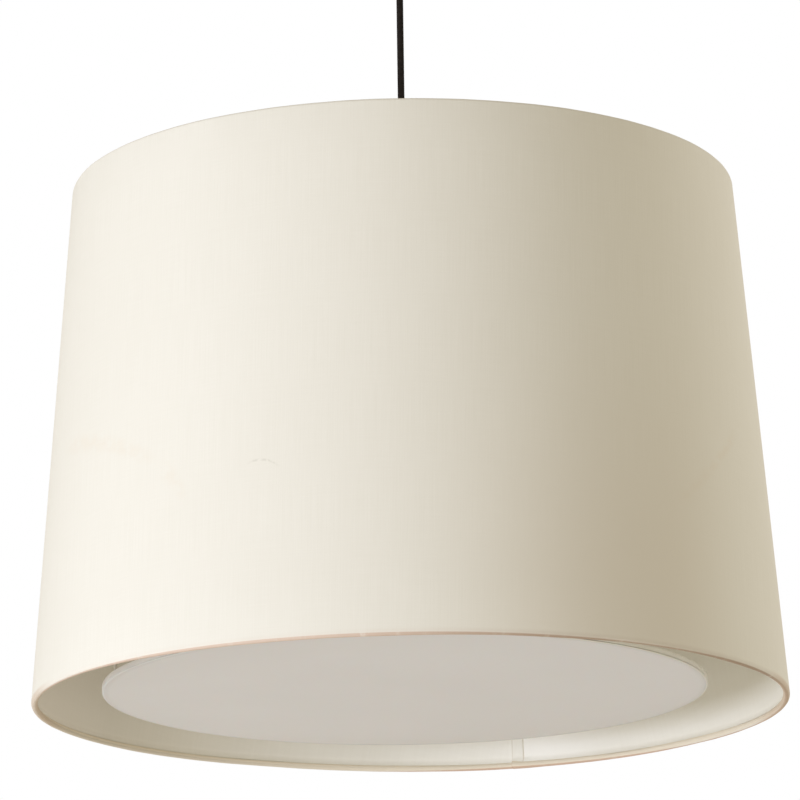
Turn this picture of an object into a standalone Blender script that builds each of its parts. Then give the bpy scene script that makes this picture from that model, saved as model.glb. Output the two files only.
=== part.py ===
# Pendant light: a tapered drum shade of stiffened fabric that hangs on a textile cord,
# with three lamps on a hub inside it and an opal diffuser disc in its open bottom.
# Metres, +Z up. The origin is the centre of the ceiling bracket's top face,
# and everything hangs below it.

import math

import bmesh
import bpy
from mathutils import Matrix, Vector

for old in list(bpy.data.objects):
    bpy.data.objects.remove(old, do_unlink=True)

# Clearances
SEAT = 0.0003
CORD_CLEARANCE = 0.0004
CUT_OVERRUN = 0.002

# Shade: a cone of fabric rolled round a wire hoop at each end
SHADE_BOTTOM_RADIUS = 0.310
SHADE_TOP_RADIUS = 0.2764
SHADE_HEIGHT = 0.436
FRAME_WIRE_RADIUS = 0.0018
FABRIC_THICKNESS = 0.0006
LINING_THICKNESS = 0.0005
SEAM_WIDTH = 0.011
SEAM_AZIMUTH = math.radians(72)
HEM_TURN = math.radians(294)

# Spider: three flat spokes, welded to the top hoop outside and to a washer on the axis
FIRST_SPOKE_AZIMUTH = math.radians(195.5)
SPOKE_COUNT = 3
SPOKE_WIDTH = 0.010
SPOKE_THICKNESS = 0.002
SPIDER_DROP = 0.012
SPOKE_BEND_RUN = 0.020
SPOKE_BEND_MARGIN = 0.010
WASHER_RADIUS = 0.021
WASHER_THICKNESS = 0.003

# Cord and its two grips
CORD_RADIUS = 0.0026
CORD_FREE_LENGTH = 0.175
CORD_STEP = 0.0125
GRIP_LENGTH = 0.026
GRIP_RADIUS = 0.0085
GRIP_NOSE_RADIUS = 0.0070
GRIP_NOSE_LENGTH = 0.010
MOUTH_RADIUS = 0.0058
MOUTH_DEPTH = 0.005
STEM_RADIUS = 0.005
STEM_LENGTH = 0.011
STEM_NUT_FLATS = 0.0075
STEM_NUT_HEIGHT = 0.004
CEILING_SWING = math.radians(20)
SHADE_SWING = math.radians(12)

# Ceiling set
CANOPY_RADIUS = 0.055
CANOPY_DEPTH = 0.045
CANOPY_WALL = 0.0012
CANOPY_FILLET = 0.009
CEILING_GAP = 0.0005
BRACKET_LENGTH = 0.096
BRACKET_WIDTH = 0.022
BRACKET_THICKNESS = 0.002
EAR_HEIGHT = 0.018
SLOT_OFFSET = 0.031
SLOT_LENGTH = 0.014
SLOT_WIDTH = 0.0048
CANOPY_SCREW_DEPTH = 0.0105
SCREW_RADIUS = 0.0015
SCREW_HEAD_RADIUS = 0.0032
SCREW_HEAD_HEIGHT = 0.0020
SCREW_BEYOND_EAR = 0.004
BLOCK_LENGTH = 0.030
BLOCK_WIDTH = 0.017
BLOCK_HEIGHT = 0.013
BLOCK_CHAMFER = 0.0015
POLE_SPACING = 0.010
POLE_OFFSET = 0.0052
POLE_RADIUS = 0.0015
POLE_DEPTH = 0.003

# Hub under the washer, and the junction block inside it
HUB_RADIUS = 0.038
HUB_HEIGHT = 0.036
HUB_WALL = 0.0015
HUB_CHAMFER = 0.003
COVER_LIP_HEIGHT = 0.005
JUNCTION_FLATS = 0.012
JUNCTION_HEIGHT = 0.010
JUNCTION_CHAMFER = 0.001

# Arms, lampholders and lamps
LAMP_TILT = math.radians(50)
ARM_RADIUS = 0.005
ARM_WALL = 0.001
ARM_INSIDE_HUB = 0.008
ARM_STRAIGHT = 0.012
ARM_BEND_RADIUS = 0.018
ARM_BEND_STEPS = 4
ARM_TAIL = 0.012
ARM_INSIDE_HOLDER = 0.005
ARM_NUT_RADIUS = 0.0075
ARM_NUT_HEIGHT = 0.003
LEAD_RADIUS = 0.002
HOLDER_RADIUS = 0.0195
HOLDER_WALL = 0.0017
HOLDER_BACK_RADIUS = 0.013
HOLDER_BACK_WALL = 0.002
HOLDER_SHOULDER = 0.012
HOLDER_LENGTH = 0.046
INSERT_START = 0.015
INSERT_FLOOR = 0.005
INSERT_LENGTH = 0.025
THREAD_RADIUS = 0.0131
THREAD_CLEARANCE = 0.0005
CAP_WALL = 0.0006
CAP_LENGTH = 0.022
CAP_SHOULDER = 0.0022
CAP_BACK_RADIUS = 0.011
TIP_RADIUS = 0.009
TIP_LENGTH = 0.0035
CONTACT_RADIUS = 0.0048
CONTACT_HEIGHT = 0.0014
GLASS_RADIUS = 0.030
GLASS_NECK_RADIUS = 0.0138
GLASS_WALL = 0.001
LAMP_LENGTH = 0.105

# Diffuser: an opal disc whose rebated edge fits a plain hoop, hung on three long rods
DIFFUSER_GAP = 0.0634
DIFFUSER_INSET = 0.0128
DIFFUSER_SHIFT = -0.0048
HOOP_WALL = 0.0012
SHADOW_GAP = 0.0004
DISC_THICKNESS = 0.002
DISC_EDGE_THICKNESS = 0.0007
DISC_EDGE_MARGIN = 0.0002
DISC_CHAMFER = 0.0004
ROD_RADIUS = 0.0015
ROD_INSET = 0.0323
ROD_FOOT_END = 0.0003
ROD_FOOT_CLEARANCE = 0.0005
ROD_COLLAR_RADIUS = 0.003
ROD_COLLAR_HEIGHT = 0.002
ROD_NUT_FLATS = 0.00275
ROD_NUT_HEIGHT = 0.0024
ROD_END = 0.0012
TAB_THICKNESS = 0.0012
TAB_HALF_WIDTH = 0.0040
GROMMET_BARREL_RADIUS = 0.0026
GROMMET_FLANGE_RADIUS = 0.0031
GROMMET_FLANGE_HEIGHT = 0.0007

# Facets
SHADE_SEGMENTS = 60
HEM_STEPS = 5
WIRE_SIDES = 6
CANOPY_SEGMENTS = 32
CANOPY_FILLET_STEPS = 3
GRIP_SEGMENTS = 16
HUB_SEGMENTS = 24
LAMP_SEGMENTS = 16
GLASS_STEPS = 6
NUT_SIDES = 12
SMALL_SEGMENTS = 10
SMOOTH_ANGLE = math.radians(40)
MERGE_DISTANCE = 0.000001
TUBE_BEVEL_STEPS = 2

# Heights that the sizes above settle, from the ceiling down
HEM_RADIUS = FRAME_WIRE_RADIUS + SEAT + FABRIC_THICKNESS
CEILING_GRIP_TOP = -(CANOPY_DEPTH + SEAT)
CEILING_MOUTH_Z = CEILING_GRIP_TOP - GRIP_LENGTH
CEILING_PIVOT_Z = CEILING_MOUTH_Z + MOUTH_DEPTH
LAMP_PIVOT_Z = CEILING_PIVOT_Z - CORD_FREE_LENGTH
LAMP_MOUTH_Z = LAMP_PIVOT_Z + MOUTH_DEPTH
LAMP_GRIP_BASE = LAMP_MOUTH_Z - GRIP_LENGTH
SPIDER_Z = LAMP_GRIP_BASE - SEAT - WASHER_THICKNESS / 2
TOP_RING_Z = SPIDER_Z + SPIDER_DROP
SHADE_TOP_Z = TOP_RING_Z + HEM_RADIUS
SHADE_BOTTOM_Z = SHADE_TOP_Z - SHADE_HEIGHT
BOTTOM_RING_Z = SHADE_BOTTOM_Z + HEM_RADIUS
TOP_RING_RADIUS = SHADE_TOP_RADIUS - HEM_RADIUS
BOTTOM_RING_RADIUS = SHADE_BOTTOM_RADIUS - HEM_RADIUS
DIFFUSER_RADIUS = SHADE_BOTTOM_RADIUS - DIFFUSER_GAP
HUB_TOP_Z = SPIDER_Z - WASHER_THICKNESS / 2 - SEAT
HUB_BOTTOM_Z = HUB_TOP_Z - HUB_HEIGHT
ARM_Z = HUB_TOP_Z - HUB_HEIGHT / 2
DISC_FACE_Z = SHADE_BOTTOM_Z + DIFFUSER_INSET
DISC_TOP_Z = DISC_FACE_Z + DISC_THICKNESS
HOOP_BOTTOM_Z = DISC_FACE_Z + DISC_EDGE_THICKNESS + SHADOW_GAP
TAB_BOTTOM_Z = DISC_TOP_Z + ROD_FOOT_CLEARANCE + ROD_FOOT_END + GROMMET_FLANGE_HEIGHT + SEAT
TAB_MIDDLE_Z = TAB_BOTTOM_Z + TAB_THICKNESS / 2
HOOP_TOP_Z = TAB_BOTTOM_Z + TAB_THICKNESS
HOOP_INNER_RADIUS = DIFFUSER_RADIUS - HOOP_WALL
DIFFUSER_CENTRE = Vector((DIFFUSER_SHIFT, 0, 0))
HOOP_INNER_FLAT = HOOP_INNER_RADIUS * math.cos(math.pi / SHADE_SEGMENTS)
ROD_FOOT_RADIUS = HOOP_INNER_FLAT - SEAT - (GROMMET_FLANGE_RADIUS + SEAT)
ROD_HEAD_RADIUS = TOP_RING_RADIUS - ROD_INSET
SPOKE_AZIMUTHS = [FIRST_SPOKE_AZIMUTH + math.tau * n / SPOKE_COUNT for n in range(SPOKE_COUNT)]
ARM_AZIMUTHS = [azimuth + math.pi / SPOKE_COUNT for azimuth in SPOKE_AZIMUTHS]


def material(name, colour, roughness, metallic=0.0):
    made = bpy.data.materials.new(name)
    made.use_nodes = True
    shader = made.node_tree.nodes["Principled BSDF"]
    shader.inputs["Base Color"].default_value = (*colour, 1.0)
    shader.inputs["Roughness"].default_value = roughness
    shader.inputs["Metallic"].default_value = metallic
    return made


CREAM_FABRIC = material("cream_fabric", (0.80, 0.75, 0.62), 0.85)
WHITE_LINING = material("white_lining", (0.72, 0.68, 0.58), 0.55)
DARK_CORD = material("dark_textile_cord", (0.030, 0.022, 0.018), 0.80)
BLACK_PLASTIC = material("black_plastic", (0.020, 0.019, 0.018), 0.45)
BLACK_PAINT = material("black_paint", (0.022, 0.020, 0.019), 0.50)
ZINC_STEEL = material("zinc_steel", (0.62, 0.62, 0.60), 0.35, 1.0)
WHITE_PAINT = material("white_paint", (0.78, 0.76, 0.71), 0.45)
OPAL_ACRYLIC = material("opal_acrylic", (0.80, 0.77, 0.73), 0.40)
WHITE_NYLON = material("white_nylon", (0.80, 0.78, 0.72), 0.50)
PORCELAIN = material("porcelain", (0.82, 0.81, 0.77), 0.25)
CAP_METAL = material("cap_metal", (0.66, 0.64, 0.58), 0.30, 1.0)
BLACK_GLASS = material("black_glass", (0.015, 0.015, 0.016), 0.20)
OPAL_GLASS = material("opal_glass", (0.88, 0.87, 0.83), 0.30)


def finish(name, bm, look, location=(0, 0, 0), rotation=None):
    bmesh.ops.remove_doubles(bm, verts=bm.verts, dist=MERGE_DISTANCE)
    bmesh.ops.recalc_face_normals(bm, faces=bm.faces)
    mesh = bpy.data.meshes.new(name)
    bm.to_mesh(mesh)
    bm.free()
    mesh.materials.append(look)
    mesh.shade_smooth()
    mesh.set_sharp_from_angle(angle=SMOOTH_ANGLE)
    made = bpy.data.objects.new(name, mesh)
    made.location = location
    if rotation is not None:
        made.rotation_euler = rotation
    bpy.context.scene.collection.objects.link(made)
    return made


def spin_profile(bm, profile, segments, closed, start=0.0, sweep=math.tau):
    # profile is (radius, height) pairs; an open one starts and ends on the axis
    first = Matrix.Rotation(start, 3, "Z")
    verts = [bm.verts.new(first @ Vector((radius, 0, height))) for radius, height in profile]
    last = len(verts) if closed else len(verts) - 1
    edges = [bm.edges.new((verts[i], verts[(i + 1) % len(verts)])) for i in range(last)]
    full = sweep == math.tau
    bmesh.ops.spin(bm, geom=verts + edges, cent=(0, 0, 0), axis=(0, 0, 1),
                   angle=sweep, steps=segments, use_merge=full)


def turned(name, profile, segments, look, closed=True, start=0.0, location=(0, 0, 0), rotation=None):
    bm = bmesh.new()
    spin_profile(bm, profile, segments, closed, start)
    return finish(name, bm, look, location, rotation)


def prism(name, outline, bottom, height, look, location=(0, 0, 0), rotation=None):
    bm = bmesh.new()
    face = bm.faces.new([bm.verts.new((x, y, bottom)) for x, y in outline])
    grown = bmesh.ops.extrude_face_region(bm, geom=[face])
    raised = [item for item in grown["geom"] if isinstance(item, bmesh.types.BMVert)]
    bmesh.ops.translate(bm, verts=raised, vec=(0, 0, height))
    return finish(name, bm, look, location, rotation)


def circle_points(radius, count, start=0.0):
    return [(radius * math.cos(start + math.tau * i / count),
             radius * math.sin(start + math.tau * i / count)) for i in range(count)]


def arc(centre, radius, start, end, steps):
    turn = (end - start) / steps
    return [(centre[0] + radius * math.cos(start + turn * i),
             centre[1] + radius * math.sin(start + turn * i)) for i in range(steps + 1)]


def hex_nut(name, bore, half_flats, height, look, location, rotation=None):
    # Twelve points each side of the wall: the hexagon's corners and the middles of its flats
    corner = half_flats / math.cos(math.pi / 6)
    reach = [corner if i % 2 == 0 else half_flats for i in range(NUT_SIDES)]
    unit = circle_points(1, NUT_SIDES)
    bm = bmesh.new()
    outer = [bm.verts.new((x * r, y * r, 0)) for (x, y), r in zip(unit, reach)]
    inner = [bm.verts.new((x * bore, y * bore, 0)) for x, y in unit]
    edges = []
    for loop in (outer, inner):
        edges += [bm.edges.new((loop[i], loop[(i + 1) % NUT_SIDES])) for i in range(NUT_SIDES)]
    ring = bmesh.ops.bridge_loops(bm, edges=edges)
    grown = bmesh.ops.extrude_face_region(bm, geom=ring["faces"])
    raised = [item for item in grown["geom"] if isinstance(item, bmesh.types.BMVert)]
    bmesh.ops.translate(bm, verts=raised, vec=(0, 0, height))
    return finish(name, bm, look, location, rotation)


def cutter(name, bm):
    made = finish(name, bm, ZINC_STEEL)
    made.hide_render = True
    made.display_type = "WIRE"
    return made


def combine(target, other, operation):
    step = target.modifiers.new(other.name, "BOOLEAN")
    step.operation = operation
    step.solver = "EXACT"
    step.object = other


def add_cylinder(bm, start, end, radius, sides):
    # A solid round bar between two points
    axis = end - start
    place = Matrix.Translation(start) @ axis.to_track_quat("Z", "Y").to_matrix().to_4x4()
    bottom = [bm.verts.new(place @ Vector((x, y, 0))) for x, y in circle_points(radius, sides)]
    face = bm.faces.new(bottom)
    grown = bmesh.ops.extrude_face_region(bm, geom=[face])
    raised = [item for item in grown["geom"] if isinstance(item, bmesh.types.BMVert)]
    bmesh.ops.translate(bm, verts=raised, vec=axis)


def add_box(bm, low, high, turn=0.0):
    spin = Matrix.Rotation(turn, 4, "Z")
    size = [b - a for a, b in zip(low, high)]
    centre = [(a + b) / 2 for a, b in zip(low, high)]
    place = spin @ Matrix.Translation(centre) @ Matrix.Diagonal((*size, 1))
    bmesh.ops.create_cube(bm, size=1, matrix=place)


def hold(parent, children):
    # The parent's origin is on the axis of the joint that moves the children
    bpy.context.view_layer.update()
    for child in children:
        child.parent = parent
        child.matrix_parent_inverse = parent.matrix_world.inverted()


def empty(name, location, rotation=(0, 0, 0)):
    made = bpy.data.objects.new(name, None)
    made.location = location
    made.rotation_euler = rotation
    bpy.context.scene.collection.objects.link(made)
    return made


def polar(radius, azimuth, height):
    return Vector((radius * math.cos(azimuth), radius * math.sin(azimuth), height))


def offset_line(points, distance):
    # The line parallel to a bent one, with mitred corners
    shifted = []
    for i, (x, z) in enumerate(points):
        before = Vector(points[i]) - Vector(points[i - 1]) if i > 0 else None
        after = Vector(points[i + 1]) - Vector(points[i]) if i < len(points) - 1 else None
        sides = [Vector((-run.y, run.x)).normalized() for run in (before, after) if run is not None]
        mitre = sum(sides, Vector((0, 0)))
        mitre = mitre / mitre.dot(sides[0])
        shifted.append((x + mitre.x * distance, z + mitre.y * distance))
    return shifted


# Shade

WALL_RUN = Vector((TOP_RING_RADIUS - BOTTOM_RING_RADIUS, TOP_RING_Z - BOTTOM_RING_Z))
WALL_ALONG = WALL_RUN.normalized()
WALL_OUT = Vector((WALL_ALONG.y, -WALL_ALONG.x))
WALL_LEAN = math.atan2(WALL_OUT.y, WALL_OUT.x)
SHADE_START = SEAM_AZIMUTH + math.pi / SHADE_SEGMENTS


def wall_point(along, outward):
    # A point of the wall's section, measured from the bottom hoop's wire
    point = Vector((BOTTOM_RING_RADIUS, BOTTOM_RING_Z)) + WALL_ALONG * along + WALL_OUT * outward
    return (point.x, point.y)


def make_fabric():
    low = (BOTTOM_RING_RADIUS, BOTTOM_RING_Z)
    high = (TOP_RING_RADIUS, TOP_RING_Z)
    inside = FRAME_WIRE_RADIUS + SEAT
    outside = inside + FABRIC_THICKNESS
    low_end = WALL_LEAN - HEM_TURN
    high_end = WALL_LEAN + HEM_TURN
    profile = arc(low, outside, low_end, WALL_LEAN, HEM_STEPS)
    profile += arc(high, outside, WALL_LEAN, high_end, HEM_STEPS)
    profile += arc(high, inside, high_end, WALL_LEAN, HEM_STEPS)
    profile += arc(low, inside, WALL_LEAN, low_end, HEM_STEPS)
    fabric = turned("shade_fabric", profile, SHADE_SEGMENTS, CREAM_FABRIC, start=SHADE_START)
    # The top hem is snipped where each spoke reaches the hoop
    half = SPOKE_WIDTH / 2 + SEAT
    reach = (FRAME_WIRE_RADIUS + SEAT) / 2
    bm = bmesh.new()
    for azimuth in SPOKE_AZIMUTHS:
        past = outside + CUT_OVERRUN
        low_corner = (TOP_RING_RADIUS - past, -half, TOP_RING_Z - past)
        high_corner = (TOP_RING_RADIUS + reach, half, TOP_RING_Z + SPOKE_THICKNESS / 2 + SEAT)
        add_box(bm, low_corner, high_corner, azimuth)
    combine(fabric, cutter("hem_snips", bm), "DIFFERENCE")
    return fabric


def make_lining():
    # A sheet just inside the fabric, between the hoops, whose ends overlap at the seam
    outer = FRAME_WIRE_RADIUS
    inner = outer - LINING_THICKNESS
    start = FRAME_WIRE_RADIUS + SEAT
    end = WALL_RUN.length - start
    profile = [wall_point(start, inner), wall_point(start, outer),
               wall_point(end, outer), wall_point(end, inner)]
    lining = turned("shade_lining", profile, SHADE_SEGMENTS, WHITE_LINING, start=SHADE_START)
    # Mid-facet, a flat strip lies on the sheet, let into it by half its thickness
    clear = HEM_RADIUS + SEAT
    flat_share = math.cos(math.pi / SHADE_SEGMENTS)
    bm = bmesh.new()
    corners = []
    for along in (clear, WALL_RUN.length - clear):
        for outward in (inner - LINING_THICKNESS, inner + LINING_THICKNESS / 2):
            radius, height = wall_point(along, outward)
            corners.append((radius * flat_share, height))
    outline = [corners[0], corners[1], corners[3], corners[2]]
    turn = Matrix.Rotation(SEAM_AZIMUTH, 3, "Z")
    side = [bm.verts.new(turn @ Vector((radius, -SEAM_WIDTH / 2, height))) for radius, height in outline]
    face = bm.faces.new(side)
    grown = bmesh.ops.extrude_face_region(bm, geom=[face])
    moved = [item for item in grown["geom"] if isinstance(item, bmesh.types.BMVert)]
    bmesh.ops.translate(bm, verts=moved, vec=turn @ Vector((0, SEAM_WIDTH, 0)))
    combine(lining, cutter("lining_overlap", bm), "UNION")
    return lining


def ring_profile(radius, height):
    return [(radius + x, height + y) for x, y in circle_points(FRAME_WIRE_RADIUS, WIRE_SIDES)]


def make_bottom_ring():
    profile = ring_profile(BOTTOM_RING_RADIUS, BOTTOM_RING_Z)
    return turned("bottom_ring", profile, SHADE_SEGMENTS, WHITE_PAINT, start=SHADE_START)


def make_top_ring():
    profile = ring_profile(TOP_RING_RADIUS, TOP_RING_Z)
    return turned("top_ring", profile, SHADE_SEGMENTS, WHITE_PAINT, start=SHADE_START)


def make_spider():
    # The spokes end just short of the hoop's facets, where the weld is, and lap over the washer
    weld = (TOP_RING_RADIUS - FRAME_WIRE_RADIUS) * math.cos(math.pi / SHADE_SEGMENTS) - SEAT
    bend_out = ROD_HEAD_RADIUS - SPOKE_BEND_MARGIN
    bend_in = bend_out - SPOKE_BEND_RUN
    line = [(WASHER_RADIUS - SPOKE_WIDTH / 2, SPIDER_Z), (bend_in, SPIDER_Z),
            (bend_out, TOP_RING_Z), (weld, TOP_RING_Z)]
    outline = offset_line(line, -SPOKE_THICKNESS / 2) + offset_line(line, SPOKE_THICKNESS / 2)[::-1]
    half = WASHER_THICKNESS / 2
    section = [(0, SPIDER_Z - half), (WASHER_RADIUS, SPIDER_Z - half),
               (WASHER_RADIUS, SPIDER_Z + half), (0, SPIDER_Z + half)]
    spider = turned("top_spider", section, HUB_SEGMENTS, WHITE_PAINT, closed=False)
    spokes = bmesh.new()
    for azimuth in SPOKE_AZIMUTHS:
        turn = Matrix.Rotation(azimuth, 3, "Z")
        side = [spokes.verts.new(turn @ Vector((r, -SPOKE_WIDTH / 2, z))) for r, z in outline]
        face = spokes.faces.new(side)
        grown = bmesh.ops.extrude_face_region(spokes, geom=[face])
        moved = [item for item in grown["geom"] if isinstance(item, bmesh.types.BMVert)]
        bmesh.ops.translate(spokes, verts=moved, vec=turn @ Vector((0, SPOKE_WIDTH, 0)))
    holes = bmesh.new()
    add_cylinder(holes, Vector((0, 0, SPIDER_Z - half - CUT_OVERRUN)),
                 Vector((0, 0, SPIDER_Z + half + CUT_OVERRUN)), STEM_RADIUS + SEAT, LAMP_SEGMENTS)
    for azimuth in SPOKE_AZIMUTHS:
        head = polar(ROD_HEAD_RADIUS, azimuth, TOP_RING_Z)
        lift = Vector((0, 0, SPOKE_THICKNESS / 2 + CUT_OVERRUN))
        add_cylinder(holes, head - lift, head + lift, ROD_RADIUS + SEAT, SMALL_SEGMENTS)
    combine(spider, cutter("spokes", spokes), "UNION")
    combine(spider, cutter("spider_holes", holes), "DIFFERENCE")
    return spider


# Cord, its grips and the ceiling set

def cord_grip(name, base_z, mouth_side, look):
    # mouth_side is -1 where the mouth points down, as at the ceiling, and 1 where it points up
    throat = CORD_RADIUS + CORD_CLEARANCE
    shoulder = GRIP_LENGTH - GRIP_NOSE_LENGTH
    lip = (MOUTH_RADIUS + GRIP_NOSE_RADIUS) / 2
    profile = [(throat, -STEM_LENGTH), (STEM_RADIUS, -STEM_LENGTH), (STEM_RADIUS, 0), (GRIP_RADIUS, 0),
               (GRIP_RADIUS, shoulder), (GRIP_NOSE_RADIUS, GRIP_LENGTH - (GRIP_NOSE_RADIUS - lip)),
               (lip, GRIP_LENGTH), (MOUTH_RADIUS, GRIP_LENGTH), (throat, GRIP_LENGTH - MOUTH_DEPTH)]
    placed = [(radius, base_z + mouth_side * along) for radius, along in profile]
    return turned(name, placed, GRIP_SEGMENTS, look)


def straight_cord(name, top, bottom, look):
    # The curve's own origin is at the top, where the free stretch swings
    length = top - bottom
    steps = max(1, round(length / CORD_STEP))
    curve = bpy.data.curves.new(name, "CURVE")
    curve.dimensions = "3D"
    curve.bevel_depth = CORD_RADIUS
    curve.bevel_resolution = 3
    curve.use_fill_caps = True
    line = curve.splines.new("POLY")
    line.points.add(steps)
    for i, point in enumerate(line.points):
        point.co = (0, 0, -length * i / steps, 1)
    curve.materials.append(look)
    made = bpy.data.objects.new(name, curve)
    made.location = (0, 0, top)
    bpy.context.scene.collection.objects.link(made)
    return made


def end_gap(swing):
    # How far a tail stays back from the corner of a swinging cord's end
    return CORD_RADIUS * math.sin(swing) + CORD_CLEARANCE


def make_canopy():
    top = -CEILING_GAP
    bottom = -CANOPY_DEPTH
    bore = STEM_RADIUS + SEAT
    corner = (CANOPY_RADIUS - CANOPY_FILLET, bottom + CANOPY_FILLET)
    outer = arc(corner, CANOPY_FILLET, -math.pi / 2, 0, CANOPY_FILLET_STEPS)
    inner = arc(corner, CANOPY_FILLET - CANOPY_WALL, 0, -math.pi / 2, CANOPY_FILLET_STEPS)
    profile = [(bore, bottom)] + outer + [(CANOPY_RADIUS, top), (CANOPY_RADIUS - CANOPY_WALL, top)]
    profile += inner + [(bore, bottom + CANOPY_WALL)]
    canopy = turned("ceiling_canopy", profile, CANOPY_SEGMENTS, BLACK_PAINT, start=math.pi / CANOPY_SEGMENTS)
    bm = bmesh.new()
    for side in (-1, 1):
        start = Vector((side * (CANOPY_RADIUS - CANOPY_WALL - CUT_OVERRUN), 0, -CANOPY_SCREW_DEPTH))
        end = Vector((side * (CANOPY_RADIUS + CUT_OVERRUN), 0, -CANOPY_SCREW_DEPTH))
        add_cylinder(bm, start, end, SCREW_RADIUS + SEAT, SMALL_SEGMENTS)
    combine(canopy, cutter("canopy_screw_holes", bm), "DIFFERENCE")
    return canopy


def make_bracket():
    # A steel strap bent down at both ends, slotted for the ceiling screws
    half = BRACKET_LENGTH / 2
    inner = half - BRACKET_THICKNESS
    outline = [(-half, 0), (half, 0), (half, -EAR_HEIGHT), (inner, -EAR_HEIGHT),
               (inner, -BRACKET_THICKNESS), (-inner, -BRACKET_THICKNESS),
               (-inner, -EAR_HEIGHT), (-half, -EAR_HEIGHT)]
    bracket = prism("ceiling_bracket", outline, -BRACKET_WIDTH / 2, BRACKET_WIDTH, ZINC_STEEL,
                    rotation=(math.pi / 2, 0, 0))
    holes = bmesh.new()
    straight = (SLOT_LENGTH - SLOT_WIDTH) / 2
    for side in (-1, 1):
        slot = arc((side * SLOT_OFFSET + straight, 0), SLOT_WIDTH / 2, -math.pi / 2, math.pi / 2, 4)
        slot += arc((side * SLOT_OFFSET - straight, 0), SLOT_WIDTH / 2, math.pi / 2, 3 * math.pi / 2, 4)
        face = holes.faces.new([holes.verts.new((x, y, -BRACKET_THICKNESS - CUT_OVERRUN)) for x, y in slot])
        grown = bmesh.ops.extrude_face_region(holes, geom=[face])
        raised = [item for item in grown["geom"] if isinstance(item, bmesh.types.BMVert)]
        bmesh.ops.translate(holes, verts=raised, vec=(0, 0, BRACKET_THICKNESS + 2 * CUT_OVERRUN))
        start = Vector((side * (inner - CUT_OVERRUN), 0, -CANOPY_SCREW_DEPTH))
        end = Vector((side * (half + CUT_OVERRUN), 0, -CANOPY_SCREW_DEPTH))
        add_cylinder(holes, start, end, SCREW_RADIUS + SEAT, SMALL_SEGMENTS)
    combine(bracket, cutter("bracket_holes", holes), "DIFFERENCE")
    return bracket


def make_canopy_screw(name, side):
    # The head bears on the flat of the canopy's facet, the shank runs through the bracket's ear
    seat = CANOPY_RADIUS * math.cos(math.pi / CANOPY_SEGMENTS) + SEAT
    tip = BRACKET_LENGTH / 2 - BRACKET_THICKNESS - SCREW_BEYOND_EAR
    edge = SCREW_HEAD_HEIGHT / 2
    profile = [(0, tip), (SCREW_RADIUS, tip), (SCREW_RADIUS, seat), (SCREW_HEAD_RADIUS, seat),
               (SCREW_HEAD_RADIUS, seat + edge), (SCREW_HEAD_RADIUS - edge, seat + SCREW_HEAD_HEIGHT),
               (0, seat + SCREW_HEAD_HEIGHT)]
    return turned(name, profile, SMALL_SEGMENTS, BLACK_PAINT, closed=False,
                  location=(0, 0, -CANOPY_SCREW_DEPTH), rotation=(0, side * math.pi / 2, 0))


def make_ceiling_block():
    top = -BRACKET_THICKNESS - SEAT
    bottom = top - BLOCK_HEIGHT
    bm = bmesh.new()
    add_box(bm, (-BLOCK_LENGTH / 2, -BLOCK_WIDTH / 2, bottom), (BLOCK_LENGTH / 2, BLOCK_WIDTH / 2, top))
    bmesh.ops.bevel(bm, geom=bm.edges[:], offset=BLOCK_CHAMFER, segments=1, affect="EDGES")
    block = finish("ceiling_terminal_block", bm, WHITE_NYLON)
    poles = bmesh.new()
    for x in (-POLE_SPACING, 0, POLE_SPACING):
        for y in (-POLE_OFFSET, POLE_OFFSET):
            start = Vector((x, y, bottom - CUT_OVERRUN))
            add_cylinder(poles, start, Vector((x, y, bottom + POLE_DEPTH)), POLE_RADIUS, SMALL_SEGMENTS)
    combine(block, cutter("block_screw_wells", poles), "DIFFERENCE")
    return block


def make_ceiling_set():
    make_bracket()
    make_canopy()
    make_canopy_screw("canopy_screw_left", -1)
    make_canopy_screw("canopy_screw_right", 1)
    make_ceiling_block()
    cord_grip("ceiling_cord_grip", CEILING_GRIP_TOP, -1, BLACK_PLASTIC)
    nut_z = -CANOPY_DEPTH + CANOPY_WALL + SEAT
    hex_nut("ceiling_grip_nut", STEM_RADIUS + SEAT, STEM_NUT_FLATS, STEM_NUT_HEIGHT, ZINC_STEEL,
            (0, 0, nut_z))
    block_bottom = -BRACKET_THICKNESS - SEAT - BLOCK_HEIGHT
    straight_cord("cord_ceiling_tail", block_bottom - SEAT, CEILING_PIVOT_Z + end_gap(CEILING_SWING),
                  DARK_CORD)


# Hub and everything that hangs with the shade

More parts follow.
